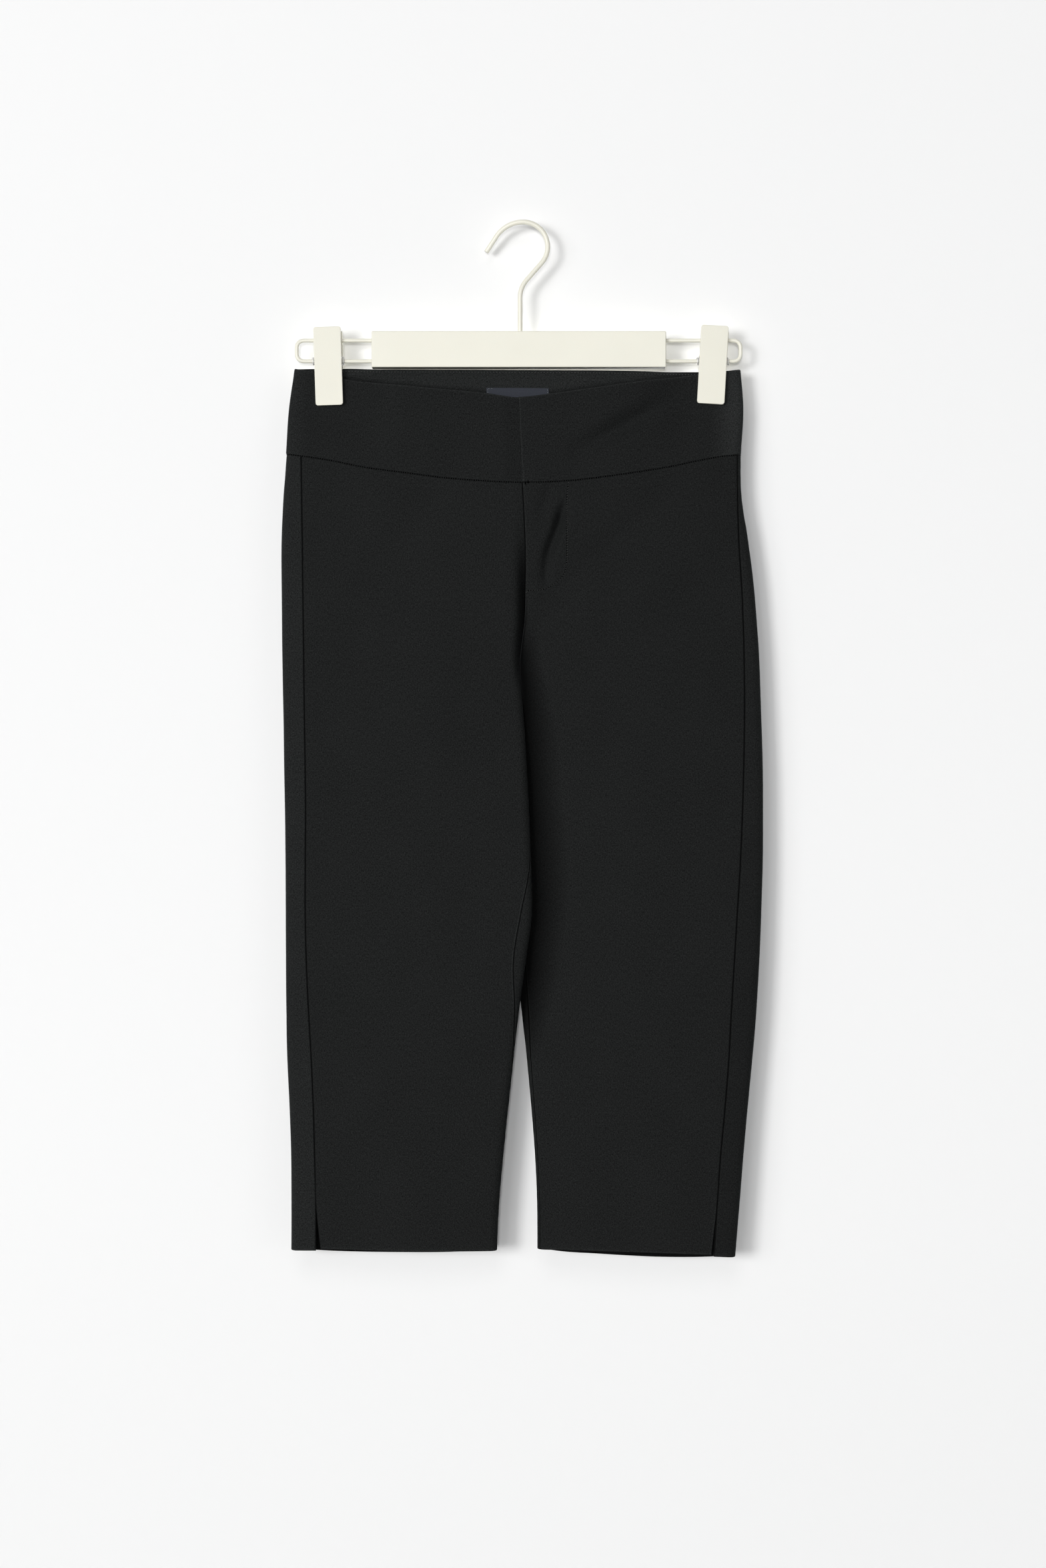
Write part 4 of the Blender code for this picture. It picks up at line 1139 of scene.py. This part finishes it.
def zipper():
    finishPiece(acrossSeam("zipTape", tapeCut, underWaistSeam, False, zipMaterial), "zip", "fly_zip")
    top = float(curve(frontSeam["x"], frontSeam["drop"], 0.0)) + zipTeeth["first"]
    drops = np.arange(top, tapeCut["bottom"] - zipTeeth["last"], zipTeeth["pitch"])
    points, normals = onForm("left", np.full(len(drops), 0.4), drops)
    under, outer, slider, pull = (zipTeeth[key] for key in ("under", "outer", "slider", "pull"))
    solid = bmesh.new()
    for index, (point, normal) in enumerate(zip(points, normals)):
        aside = zipTeeth["reach"] * (1 if index % 2 else -1) + under
        middle = point + normal * (outer - zipTeeth["size"][1] / 2) + np.array([aside, 0, 0])
        middle[1] += lapBack(under, drops[index])
        bar(solid, zipTeeth["size"], middle, zipTeeth["edge"])
    middle = points[0] + normals[0] * (outer - slider["deep"])
    middle += np.array([under, slider["back"], slider["up"]])
    bar(solid, slider["size"], middle, slider["edge"])
    bar(solid, pull["size"], middle + np.array([0, 0, pull["up"]]), pull["edge"])
    mesh = meshFrom(solid, "zipTeeth")
    mesh.shade_smooth()
    finishPiece(addPiece("zipTeeth", mesh, zipMaterial), "zip")


def box(solid, size):    # in a bmesh, from millimetres
    made = bmesh.ops.create_cube(solid, size=1.0)["verts"]
    bmesh.ops.scale(solid, vec=Vector(size) * mm, verts=made)
    return made


def roundEdges(solid, edges, offset, segments):
    return bmesh.ops.bevel(
        solid, geom=edges, offset=offset * mm, segments=segments, profile=0.5, affect="EDGES"
    )


def onceEach(found):    # without repeats, in the order in which they were found
    return list(dict.fromkeys(found))


def bar(solid, size, middle, edge, segments=1):
    edges = onceEach(e for v in box(solid, size) for e in v.link_edges)
    rounded = roundEdges(solid, edges, edge, segments)
    made = onceEach(v for face in rounded["faces"] for v in face.verts)
    bmesh.ops.translate(solid, vec=Vector([float(v) for v in middle]) * mm, verts=made)


zipMaterial = newMaterial("black zip", (0.010, 0.010, 0.011), 0.55, 0.3)
shield()
zipper()
print("fly closed")

# The woven label, bare, on the inside of the back.
labelCut = {
    "right": 26.0, "left": 25.0, "bottom": 154.0, "thick": 0.55, "outer": -1.42,
    "columns": 60, "rows": 30, "tall": 20.5,
    "wave": lambda laid: -0.35 * np.sin(np.pi * (laid["length"] - grainShift + 26) / 51) ** 2,
    "flat": (0.051, 0.0213, 1.0),
    "top": {"right": 132.7, "left": 133.0},
    "dark": (0.0300, 0.0330, 0.0415),
    "light": (0.0410, 0.0445, 0.0550),
}


def labelTop(x, turn):
    across = (x + labelCut["right"]) / (labelCut["right"] + labelCut["left"])
    return blend(labelCut["top"]["right"], labelCut["top"]["left"], across)


def labelMaterial():
    material = newMaterial("navy label", labelCut["light"], 0.8, 0.05)
    nodes, links, shader = nodesOf(material)
    grain = nodes.new("ShaderNodeUVMap")
    grain.uv_map = "grain"
    ribs = nodes.new("ShaderNodeTexWave")
    ribs.bands_direction = "Y"
    ribs.inputs["Scale"].default_value = 160
    ribs.inputs["Distortion"].default_value = 0.3
    links.new(grain.outputs["UV"], ribs.inputs["Vector"])
    fleck = noiseOf(material, grain.outputs["UV"], (1, 0.4, 1), 1500, 2)
    color = colorBetween(material, fleck, labelCut["dark"], labelCut["light"])
    links.new(color, shader.inputs["Base Color"])
    relieve(material, ribs.outputs["Fac"], 0.4)
    return material


labelPiece = acrossSeam("sizeLabel", labelCut, labelTop, True, labelMaterial())
finishPiece(labelPiece, "label", "label")


def ringFaces(first, rows, sides):    # the faces of a closed tube whose rings' points start at first
    faces = []
    for row in range(rows - 1):
        for k in range(sides):
            a, b = first + row * sides + k, first + row * sides + (k + 1) % sides
            faces.append((a, b, b + sides, a + sides))
    faces.append(tuple(first + k for k in range(sides - 1, -1, -1)))
    faces.append(tuple(first + (rows - 1) * sides + k for k in range(sides)))
    return faces


# Sewing, as real stitches.
chance = np.random.default_rng(7)
stitchRing = {    # from one end of a stitch to the other: place, width and height of each ring
    "share": np.array([-0.5, -0.42, -0.2, 0.2, 0.42, 0.5]),
    "wide": np.array([0.25, 0.78, 1.0, 1.0, 0.78, 0.25]),
    "high": np.array([-1.6, -0.2, 1.0, 1.0, -0.2, -1.6]),
    "sides": 6,
}


def stitches(points, normals, thread):    # capsule stitches along a line on the cloth
    length = lengthsAlong(*points.T)
    count = max(1, int(length[-1] / thread["pitch"]))
    share, wide, high, sides = stitchRing.values()
    first = 0.5 - thread.get("early", 0)
    middle = (np.arange(count) + first) * length[-1] / count + chance.normal(0, 0.05, count)
    at = middle[:, None] + share * thread["long"] * (1 + chance.normal(0, 0.04, (count, 1)))
    centre, normal = pointsAt(at, length, points), pointsAt(at, length, normals)
    side = unit(np.cross(normal, unit(centre[:, -1:] - centre[:, :1])))
    slant = chance.normal(0, 0.05, (count, 1, 1)) * thread["long"]
    centre = centre + side * slant * share[None, :, None] + normal * (thread["rise"] * high)[None, :, None]
    angles = np.linspace(0, 2 * np.pi, sides, endpoint=False)
    tall = np.sin(angles) * thread.get("flat", 1.0)
    ring = np.cos(angles)[:, None, None, None] * side + tall[:, None, None, None] * normal
    size = np.clip(1 + chance.normal(0, 1, (count, 1, 1)) * thread.get("vary", 0.04), 0.45, 1.5)
    rings = centre + ring * size * (thread["radius"] * wide)[None, None, :, None]
    rings = rings.transpose(1, 2, 0, 3).reshape(count, -1, 3)
    faces = []
    for index in range(count):
        faces += ringFaces(index * len(share) * sides, len(share), sides)
    return rings.reshape(-1, 3), faces


def sewPiece(name, rows, finish, slot="cloth"):    # all rows of one kind of sewing as one piece
    points, faces, before = [], [], 0
    for line, normals, thread in rows:
        made, own = stitches(line, normals, thread)
        points.append(made)
        faces += [tuple(k + before for k in face) for face in own]
        before += len(made)
    finishPiece(meshOf(name, np.concatenate(points), faces, finish), slot)


def lineRound(side, start, end, dropOf, out):    # a line round a half, at a drop that follows an edge
    path = sections[side]
    whole = path["length"][:, -1]
    share = np.linspace(0, 1, 420)
    lengths = (start + 0 * whole)[:, None] * (1 - share) + (whole - end)[:, None] * share
    laid = layRows(columnsAt(path, lengths), np.zeros(1), np.zeros(1), dropOf, dropOf)
    points = np.stack([laid["x"][0], laid["y"][0], -laid["drop"][0]], axis=-1)
    normals = np.stack([laid["nx"][0], laid["ny"][0], 0 * laid["nx"][0]], axis=-1)
    return points + normals * out, normals


def threadMaterial(name, color):
    material = newMaterial(name, color, 0.6, 0.3)
    relieve(material, evenNoise(material, 2600, 2), 0.5)
    return material


blackThread = threadMaterial("black thread", (0.0105, 0.0112, 0.0112))
# the fly thread painted darker for the stitches of the bend, as painted shade where they show less
shadedFlyThread = threadMaterial("dim thread", (0.020, 0.021, 0.020))
flyThread = threadMaterial("fly thread", (0.031, 0.032, 0.031))
greyThread = threadMaterial("grey thread", (0.036, 0.037, 0.036))
paleThread = threadMaterial("pale thread", (0.12, 0.13, 0.135))
# Near-black for painted shade: dots in the needle holes, a line beside the fly stitches, and the bartack
# knot, real thread painted as dark as its shade.
paintedHoleShade = newMaterial("needle hole", (0.001, 0.001, 0.001), 1.0, 0.0)

waistSewing = {    # how far in from the halves' ends, how far below an edge, and how far out it runs
    "waist": {"start": 1.0, "end": 0.6, "below": 0.25, "out": 0.02},
    "under": {"start": 12.0, "end": 0.6, "below": 2.2, "out": bandCut["inside"] - 0.06},
}


def waistLine(side, kind, edge):
    def drop(x, turn):
        return edge(x, turn) + row["below"]

    row = waistSewing[kind]
    return lineRound(side, row["start"], row["end"], drop, row["out"])


# Waist seams, understitching, and near-black dots of painted shade in the waist seam's needle holes.
waistRows, underRows, holeShadeRows = [], [], []
for side in ("right", "left"):
    line, normals = waistLine(side, "waist", bandBottom)
    waistRows.append((line, normals, threads["waist"]))
    holeShadeRows.append((line, normals, threads["waistHole"]))
    line, normals = waistLine(side, "under", bandTop)
    underRows.append((line, -normals, threads["under"]))
sewPiece("waistSeamStitches", waistRows, blackThread)
sewPiece("underStitches", underRows, greyThread)

flyStitch = {
    "straight": table(
        "x     drop", (36.3, 211.5), (35.6, 219), (35.2, 227), (35.2, 250), (35.3, 272), (34.9, 279)
    ),
    "bend": table(
        "x     drop",
        (34.7, 280.5), (33.6, 284.5), (31.0, 289.0), (26.6, 293.0), (21.7, 296.0), (17.5, 298.2),
        (12.0, 299.2), (1.4, 299.4),
    ),
    "tack": table("x drop", (1.6, 299.6), (3.6, 302.4)),
    "centreTack": table("x drop", (0.2, 211.2), (2.6, 210.2), (5.2, 209.2)),
}


def frontLine(path, out, step=0.5):    # a line through listed points on the left front
    reach = lengthsAlong(path["x"], path["drop"])
    at = np.arange(0, reach[-1], step)
    x, drop = np.interp(at, reach, path["x"]), np.interp(at, reach, path["drop"])
    along = [onFront("left", *place) for place in zip(x, drop)]
    points, normals = onForm("left", along, drop)
    along = np.array(along)
    points = points + normals * (out + uneven(along, drop, legCut["uneven"]))[:, None]
    points[:, 1] -= lapForward(along, drop)
    return points, normals


flyRows = [(*frontLine(flyStitch["straight"], 0.06), threads["fly"])]
bendRows = [(*frontLine(flyStitch["bend"], 0.04), threads["fly"])]
for shift in (-0.5, 0.1, 0.7):
    tack = {"x": flyStitch["tack"]["x"] + shift, "drop": flyStitch["tack"]["drop"] - shift * 0.6}
    flyRows.append((*frontLine(tack, 0.12), threads["fly"]))
sewPiece("flyStitches", flyRows, flyThread)
sewPiece("flyBendStitches", bendRows, shadedFlyThread)
# painted shade: a near-black line just beside the fly stitches
for part in ("straight", "bend"):
    beside = {"x": flyStitch[part]["x"] - 0.45, "drop": flyStitch[part]["drop"] + 0.25}
    holeShadeRows.append((*frontLine(beside, 0.03), threads["hole"]))
# the bartack knot, real thread sewn in the near-black of painted shade
for shift in (-0.5, 0.1, 0.7, 1.3):
    knot = {"x": flyStitch["centreTack"]["x"], "drop": flyStitch["centreTack"]["drop"] + 1.9 + shift}
    holeShadeRows.append((*frontLine(knot, 0.30), threads["fly"]))
sewPiece("needleHoles", holeShadeRows, paintedHoleShade)


def labelLine(start, end, drops):    # a line of sewing on the label, in its parts on the two halves
    along = np.linspace(start, end, 40)
    drop = np.linspace(*drops, 40)
    parts = []
    for side, near in (("right", along < 0), ("left", along >= 0)):
        if near.any():
            points, normals = onForm(side, abs(along[near]), drop[near], True)
            depth = labelCut["outer"] - labelCut["thick"] - 0.06
            depth = depth + labelCut["wave"]({"length": along[near] + grainShift})
            parts.append((points + normals * depth[:, None], -normals))
    return parts


labelSewing = (    # along the label from the centre back, from and to, and the drops there
    (-24.9, -24.9, (133.4, 153.0)), (23.9, 23.9, (133.7, 153.0)),
    (-24.9, -20.4, (133.4, 133.4)), (-24.9, -21.2, (153.0, 153.0)),
)
labelRows = [(*part, threads["label"]) for place in labelSewing for part in labelLine(*place)]
sewPiece("labelStitches", labelRows, paleThread, "label")
print("stitches sewn")

# The hanger.
wireSetting = {
    "radius": {"loop": 1.6, "hook": 2.0},
    "sides": 28,
    "loopDrops": (95.2, 112.1),
    "loopEnds": {"right": -184.6, "left": 176.6},
    "loopCorner": 5.4,
    "inBlock": 8.0,
    "neckX": -2.9,
    "arcs": (
        ((18.1, -60.0), 21.0, 180, 139.2),
        ((-0.4, -18.8), 20.1, -39.5, 90),
        ((-0.4, -24.7), 26.0, 90, 147),
    ),
    "tail": 15.3,
    "back": 9.0,    # how far the tail's end leans back, to the wall
    "backFrom": 30.0,    # the drop above which it does, how it grows, and how much it rises with it
    "backCurve": 1.5,
    "backRise": 0.18,
}
blockSetting = {
    "x": (-123.5, 115.7), "drop": (88.4, 117.7), "deep": 13.0, "edge": 0.9, "socket": 9.0, "bore": 0.4,
}
springSetting = {"radius": 2.85, "wire": 0.5, "long": 26.0, "turns": 19, "leg": 13.0, "tuck": 5.0}


def arcPoints(centre, radius, start, end):
    count = max(6, int(abs(end - start) / 4))
    angles = np.radians(np.linspace(start, end, count))
    return [(centre[0] + radius * math.cos(a), 0.0, centre[1] + radius * math.sin(a)) for a in angles]


def evenly(points, step):    # the same line with points at even steps
    points = np.array(points, float)
    length = lengthsAlong(*points.T)
    at = np.linspace(0, length[-1], max(2, int(length[-1] / step)))
    return pointsAt(at, length, points)


def softened(points, times):
    points = points.copy()
    for _ in range(times):
        points[1:-1] = (points[:-2] + 2 * points[1:-1] + points[2:]) / 4
    return points


def tube(name, points, radius, sides, finish, roundEnd=0.35):    # roundEnd is a share of the radius
    tangents = unit(np.gradient(points, axis=0))
    normals = [unit(np.cross(tangents[0], (0.3, 0.9, 0.1)))]
    for tangent in tangents[1:]:
        normals.append(unit(normals[-1] - tangent * (normals[-1] @ tangent)))

    def rounded(end, inwards, angles):
        for angle in np.radians(angles):
            back = radius * roundEnd * (1 - math.sin(angle))
            wide = radius * (1 - roundEnd * (1 - math.sin(angle)))
            yield points[end] + inwards * tangents[end] * back, tangents[end], normals[end], wide

    inside = slice(1, -1)
    rings = [*rounded(0, 1, (10, 35, 60))]
    for point, tangent, normal in zip(points[inside], tangents[inside], normals[inside]):
        rings.append((point, tangent, normal, radius))
    rings += rounded(-1, -1, (60, 35, 10))
    angles = np.linspace(0, 2 * np.pi, sides, endpoint=False)
    made = []
    for point, tangent, normal, wide in rings:
        other = np.cross(tangent, normal)
        made += [point + wide * (math.cos(a) * normal + math.sin(a) * other) for a in angles]
    return meshOf(name, made, ringFaces(0, len(rings), sides), finish)


def paintedMaterial(name, color, roughness, grain, strength):    # moulded plastic or dipped wire
    material = newMaterial(name, color, roughness, 0.45)
    _, links, shader = nodesOf(material)
    relieve(material, evenNoise(material, grain, 3), strength)
    shades = [v * 0.97 for v in color], [v * 1.03 for v in color]
    mixed = colorBetween(material, evenNoise(material, 24, 2), *shades)
    links.new(mixed, shader.inputs["Base Color"])
    shader.inputs["Subsurface Weight"].default_value = 0.04
    shader.inputs["Subsurface Radius"].default_value = (0.004, 0.003, 0.002)
    return material


creamPlastic = paintedMaterial("cream plastic", (0.775, 0.76, 0.665), 0.42, 900, 0.12)
clipPlastic = paintedMaterial("clip plastic", (0.756, 0.741, 0.648), 0.42, 900, 0.12)
creamCoating = paintedMaterial("cream coating", (0.775, 0.76, 0.665), 0.36, 1400, 0.15)
springSteel = newMaterial("spring steel", (0.78, 0.78, 0.77), 0.5)
nodesOf(springSteel)[2].inputs["Metallic"].default_value = 0.5


def hookWire():
    block, deep = -blockSetting["drop"][0], blockSetting["socket"]
    points = [(wireSetting["neckX"], 0, block - deep), (wireSetting["neckX"], 0, block)]
    for arc in wireSetting["arcs"]:
        points += arcPoints(*arc)
    end = math.radians(wireSetting["arcs"][-1][3])
    x, _, z = points[-1]
    tip = x - wireSetting["tail"] * math.sin(end)
    points.append((tip, 0, z + wireSetting["tail"] * math.cos(end)))
    line = evenly(points, 0.9)
    nose = (line[:, 2] > -wireSetting["backFrom"]) & (line[:, 0] < 0)
    line[nose, 1] = wireSetting["back"] * (line[nose, 0] / tip) ** wireSetting["backCurve"]
    line[:, 2] += wireSetting["backRise"] * line[:, 1]
    line = softened(line, 3)
    piece = tube("hookWire", line, wireSetting["radius"]["hook"], wireSetting["sides"], creamCoating)
    finishPiece(piece, "coating", "hook_wire")


def loopWire(side):
    high, low = (-drop for drop in wireSetting["loopDrops"])
    out = -1 if side == "right" else 1
    corner = wireSetting["loopCorner"]
    end = wireSetting["loopEnds"][side] - out * corner
    inside = blockSetting["x"][0 if side == "right" else 1] - out * wireSetting["inBlock"]
    turn, back = ((90, 180), (180, 270)) if side == "right" else ((90, 0), (0, -90))
    points = [(inside, 0, high)] + arcPoints((end, high - corner), corner, *turn)
    points += arcPoints((end, low + corner), corner, *back) + [(inside, 0, low)]
    line = softened(evenly(points, 0.8), 3)
    radius, sides = wireSetting["radius"]["loop"], wireSetting["sides"]
    piece = tube(f"loopWire{side.capitalize()}", line, radius, sides, creamCoating)
    finishPiece(piece, "coating", f"loop_wire_{side}")


def settled(piece):    # the piece with its modifiers made real, and its cutters gone
    graph = bpy.context.evaluated_depsgraph_get()
    mesh = bpy.data.meshes.new_from_object(piece.evaluated_get(graph))
    cutters = [m.object for m in piece.modifiers if m.type == "BOOLEAN"]
    piece.modifiers.clear()
    piece.data = mesh
    for cutter in cutters:
        bpy.data.objects.remove(cutter)
    return piece


def smoothFlats(piece):
    piece.data.shade_smooth()
    piece.data.set_sharp_from_angle(angle=math.radians(50))
    flats = piece.modifiers.new("Even flats", "WEIGHTED_NORMAL")
    flats.keep_sharp = True
    return settled(piece)


def drill(piece, radius, depth, middle, axis):
    solid = bmesh.new()
    bmesh.ops.create_cone(
        solid, cap_ends=True, segments=32, radius1=radius * mm, radius2=radius * mm, depth=depth * mm
    )
    if axis == "X":
        sideways = Matrix.Rotation(math.pi / 2, 3, "Y")
        bmesh.ops.rotate(solid, verts=solid.verts, cent=(0, 0, 0), matrix=sideways)
    bmesh.ops.translate(solid, verts=solid.verts, vec=Vector(middle) * mm)
    cutter = bpy.data.objects.new("drill", meshFrom(solid, "drill"))
    bpy.context.scene.collection.objects.link(cutter)
    cut = piece.modifiers.new("Socket", "BOOLEAN")
    cut.operation = "DIFFERENCE"
    cut.object = cutter


def barBlock():
    (left, right), (top, bottom) = blockSetting["x"], blockSetting["drop"]
    solid = bmesh.new()
    size = (right - left, blockSetting["deep"], bottom - top)
    bar(solid, size, ((left + right) / 2, 0, -(top + bottom) / 2), blockSetting["edge"], 5)
    piece = addPiece("barBlock", meshFrom(solid, "barBlock"), creamPlastic)
    for face in (left, right):
        for drop in wireSetting["loopDrops"]:
            bore = wireSetting["radius"]["loop"] + blockSetting["bore"]
            drill(piece, bore, 2 * blockSetting["socket"], (face, 0, -drop), "X")
    foot = (wireSetting["neckX"], 0, -top)
    bore = wireSetting["radius"]["hook"] + blockSetting["bore"]
    drill(piece, bore, 2 * blockSetting["socket"] + 1, foot, "Z")
    finishPiece(smoothFlats(settled(piece)), "plastic", "bar_block")


plateSetting = {
    "closing": 1.28, "spread": 3.7, "backShorter": 2.0, "backAside": 0.6, "backTilt": 0.8,
    "ridges": {"up": (2.0, 4.2, 6.4, 8.6, 10.8), "shorter": 4.0, "high": 0.32, "tall": 1.1, "edge": 0.28},
    "ribs": {"up": (-5.2, 5.2), "shorter": 3.0, "high": 0.9, "tall": 1.5, "edge": 0.5},
}


def clipPlatePiece(side, face):
    wide, thick, tall = (clipPlate[key] for key in ("wide", "thick", "tall"))
    aside = tilt = 0
    if face > 0:
        tall -= plateSetting["backShorter"]
        aside, tilt = plateSetting["backAside"], plateSetting["backTilt"]
    solid = bmesh.new()
    box(solid, (wide, thick, tall))
    corners = [e for e in solid.edges if abs(e.verts[0].co.y - e.verts[1].co.y) > thick * mm / 2]
    roundEdges(solid, corners, clipPlate["corner"], 8)
    rim = [e for e in solid.edges if e.calc_face_angle(0) > 1.0]
    roundEdges(solid, rim, clipPlate["edge"], 4)
    lowWire = wireSetting["loopDrops"][1]
    jaw = clipPlate["topDrop"] + clipPlate["tall"]
    rise = tall / 2 - (jaw - lowWire)
    for kind, foot in (("ridges", tall / 2), ("ribs", rise)):
        bars = plateSetting[kind]
        for up in bars["up"]:
            size = (wide - bars["shorter"], 2 * bars["high"], bars["tall"])
            bar(solid, size, (0, -face * thick / 2, up - foot), bars["edge"], 3)
    mesh = meshFrom(solid, "plate")
    lean = math.atan2(clips[side]["jaw"] - clips[side]["top"], -clipPlate["tall"]) - math.pi
    place = Matrix.Translation(Vector((clipMiddle(side, lowWire), 0, -lowWire - clips[side]["lower"])) * mm)
    place @= Matrix.Rotation(lean + math.radians(tilt), 4, "Y")
    place @= Matrix.Translation(Vector((aside, face * plateSetting["spread"], 0)) * mm)
    place @= Matrix.Rotation(face * math.radians(plateSetting["closing"]), 4, "X")
    place @= Matrix.Translation(Vector((0, face * thick / 2, rise)) * mm)
    mesh.transform(place)
    where = "front" if face < 0 else "back"
    piece = addPiece(f"clip{side.capitalize()}{where.capitalize()}", mesh, clipPlastic)
    finishPiece(smoothFlats(piece), "plastic", f"clip_{side}_{where}")


def spring(side):
    x, z = float(clipMiddle(side, wireSetting["loopDrops"][1])), -wireSetting["loopDrops"][1]
    radius, half = springSetting["radius"], springSetting["long"] / 2
    turns = springSetting["turns"]
    at = np.linspace(0, 1, turns * 20 + 1)
    angle = 2 * np.pi * turns * at
    coil = np.stack([x - half + 2 * half * at, radius * np.cos(angle), z + radius * np.sin(angle)], axis=-1)
    up = np.linspace(0, 1, 16)[1:]
    aside = springSetting["tuck"] * softStep((up - 0.15) * 2.5)
    first = np.stack([x - half + aside, radius + 0 * up, z + springSetting["leg"] * up], axis=-1)[::-1]
    last = np.stack([x + half - aside, radius + 0 * up, z + springSetting["leg"] * up], axis=-1)
    line = softened(np.concatenate([first, coil, last]), 1)
    piece = tube(f"spring{side.capitalize()}", line, springSetting["wire"], 10, springSteel)
    finishPiece(piece, "steel", f"clip_{side}_spring")


hookWire()
barBlock()
for side in ("right", "left"):
    loopWire(side)
    for face in (-1, 1):
        clipPlatePiece(side, face)
    spring(side)
print("hanger built")

# Stage, lights and camera.
stageSetting = {
    "wallBehind": 0.0193,    # behind the hook's top, and how much farther for each metre down
    "wallLean": 0.0137,
    "wallColor": (0.86, 0.862, 0.865),
    "floorColor": (0.30, 0.298, 0.292),
    "floorDrop": 1.25,
    "roomColor": (0.97, 0.985, 1.0),
    "size": 4.0,
    "worldStrength": 0.05,
}


def stagePlane(name, points, color, oneSided):
    mesh = bpy.data.meshes.new(name)
    mesh.from_pydata(points, [], [(0, 1, 2, 3)])
    material = newMaterial(name, color, 0.9, 0.1)
    nodes, links, shader = nodesOf(material)
    relieve(material, evenNoise(material, 260, 3), 0.06, 0.0004)
    if oneSided:    # seen and lit from the front only, so that it hides nothing from behind
        mix = nodes.new("ShaderNodeMixShader")
        clear = nodes.new("ShaderNodeBsdfTransparent")
        geometry = nodes.new("ShaderNodeNewGeometry")
        links.new(geometry.outputs["Backfacing"], mix.inputs["Fac"])
        links.new(shader.outputs["BSDF"], mix.inputs[1])
        links.new(clear.outputs["BSDF"], mix.inputs[2])
        links.new(mix.outputs["Shader"], nodes["Material Output"].inputs["Surface"])
    plane = addPiece(name, mesh, material)
    return plane


wide, ground = stageSetting["size"], -stageSetting["floorDrop"]
low, high = (stageSetting["wallBehind"] - z * stageSetting["wallLean"] for z in (ground, wide))
wall = stagePlane(
    "wall",
    [(-wide, low, ground), (wide, low, ground), (wide, high, wide), (-wide, high, wide)],
    stageSetting["wallColor"], True,
)
wall.visible_shadow = False
stagePlane(
    "floor",
    [(-wide, -wide, ground), (wide, -wide, ground), (wide, wide, ground), (-wide, wide, ground)],
    stageSetting["floorColor"], False,
)

world = bpy.data.worlds.new("soft room")
bpy.context.scene.world = world
world.use_nodes = True
room = world.node_tree.nodes["Background"]
room.inputs["Color"].default_value = (*stageSetting["roomColor"], 1)
room.inputs["Strength"].default_value = stageSetting["worldStrength"]


def areaLight(name, place, target, size, energy, color):
    data = bpy.data.lights.new(name, "AREA")
    data.shape = "RECTANGLE"
    data.size, data.size_y = size
    data.energy = energy
    data.color = color
    light = bpy.data.objects.new(name, data)
    light.location = place
    light.rotation_mode = "QUATERNION"
    light.rotation_quaternion = (Vector(target) - Vector(place)).to_track_quat("-Z", "Y")
    light.visible_camera = False
    bpy.context.scene.collection.objects.link(light)


lightSetting = {    # degrees round to the right and up from straight in front, distance, size, watts
    "key": (-30, 4.5, 12.0, (2.7, 2.7), 512, (1.0, 0.998, 0.99)),
    "broad": (-31, 3, 12.0, (8.4, 4.6), 536, (1.0, 1.0, 1.0)),
    "front": (-1.5, 0, 8.0, (0.7, 0.7), 170, (1.0, 1.0, 1.0)),
    "top": (-8, 32, 8.0, (3.0, 3.0), 64, (1.0, 1.0, 1.0)),
    "right": (42, 3, 8.0, (3.3, 3.3), 29, (1.0, 1.0, 1.0)),
    "rear": (166, 10, 3.0, (1.8, 1.8), 95, (1.0, 1.0, 1.0)),
}
middle = Vector((0, 0, -0.45))
for name, (around, up, away, size, energy, color) in lightSetting.items():
    turn, rise = math.radians(around), math.radians(up)
    aim = Vector((math.sin(turn) * math.cos(rise), -math.cos(turn) * math.cos(rise), math.sin(rise)))
    areaLight(name, middle + aim * away, middle, size, energy, color)

cameraSetting = {"place": (-0.0005, -2.3, -0.456), "lens": 64.9}
cameraData = bpy.data.cameras.new("camera")
cameraData.lens = cameraSetting["lens"]
cameraData.sensor_width = 36
camera = bpy.data.objects.new("camera", cameraData)
camera.location = cameraSetting["place"]
camera.rotation_euler = (math.pi / 2, 0, 0)
bpy.context.scene.collection.objects.link(camera)
bpy.context.scene.camera = camera
bpy.context.scene.view_settings.view_transform = "Standard"
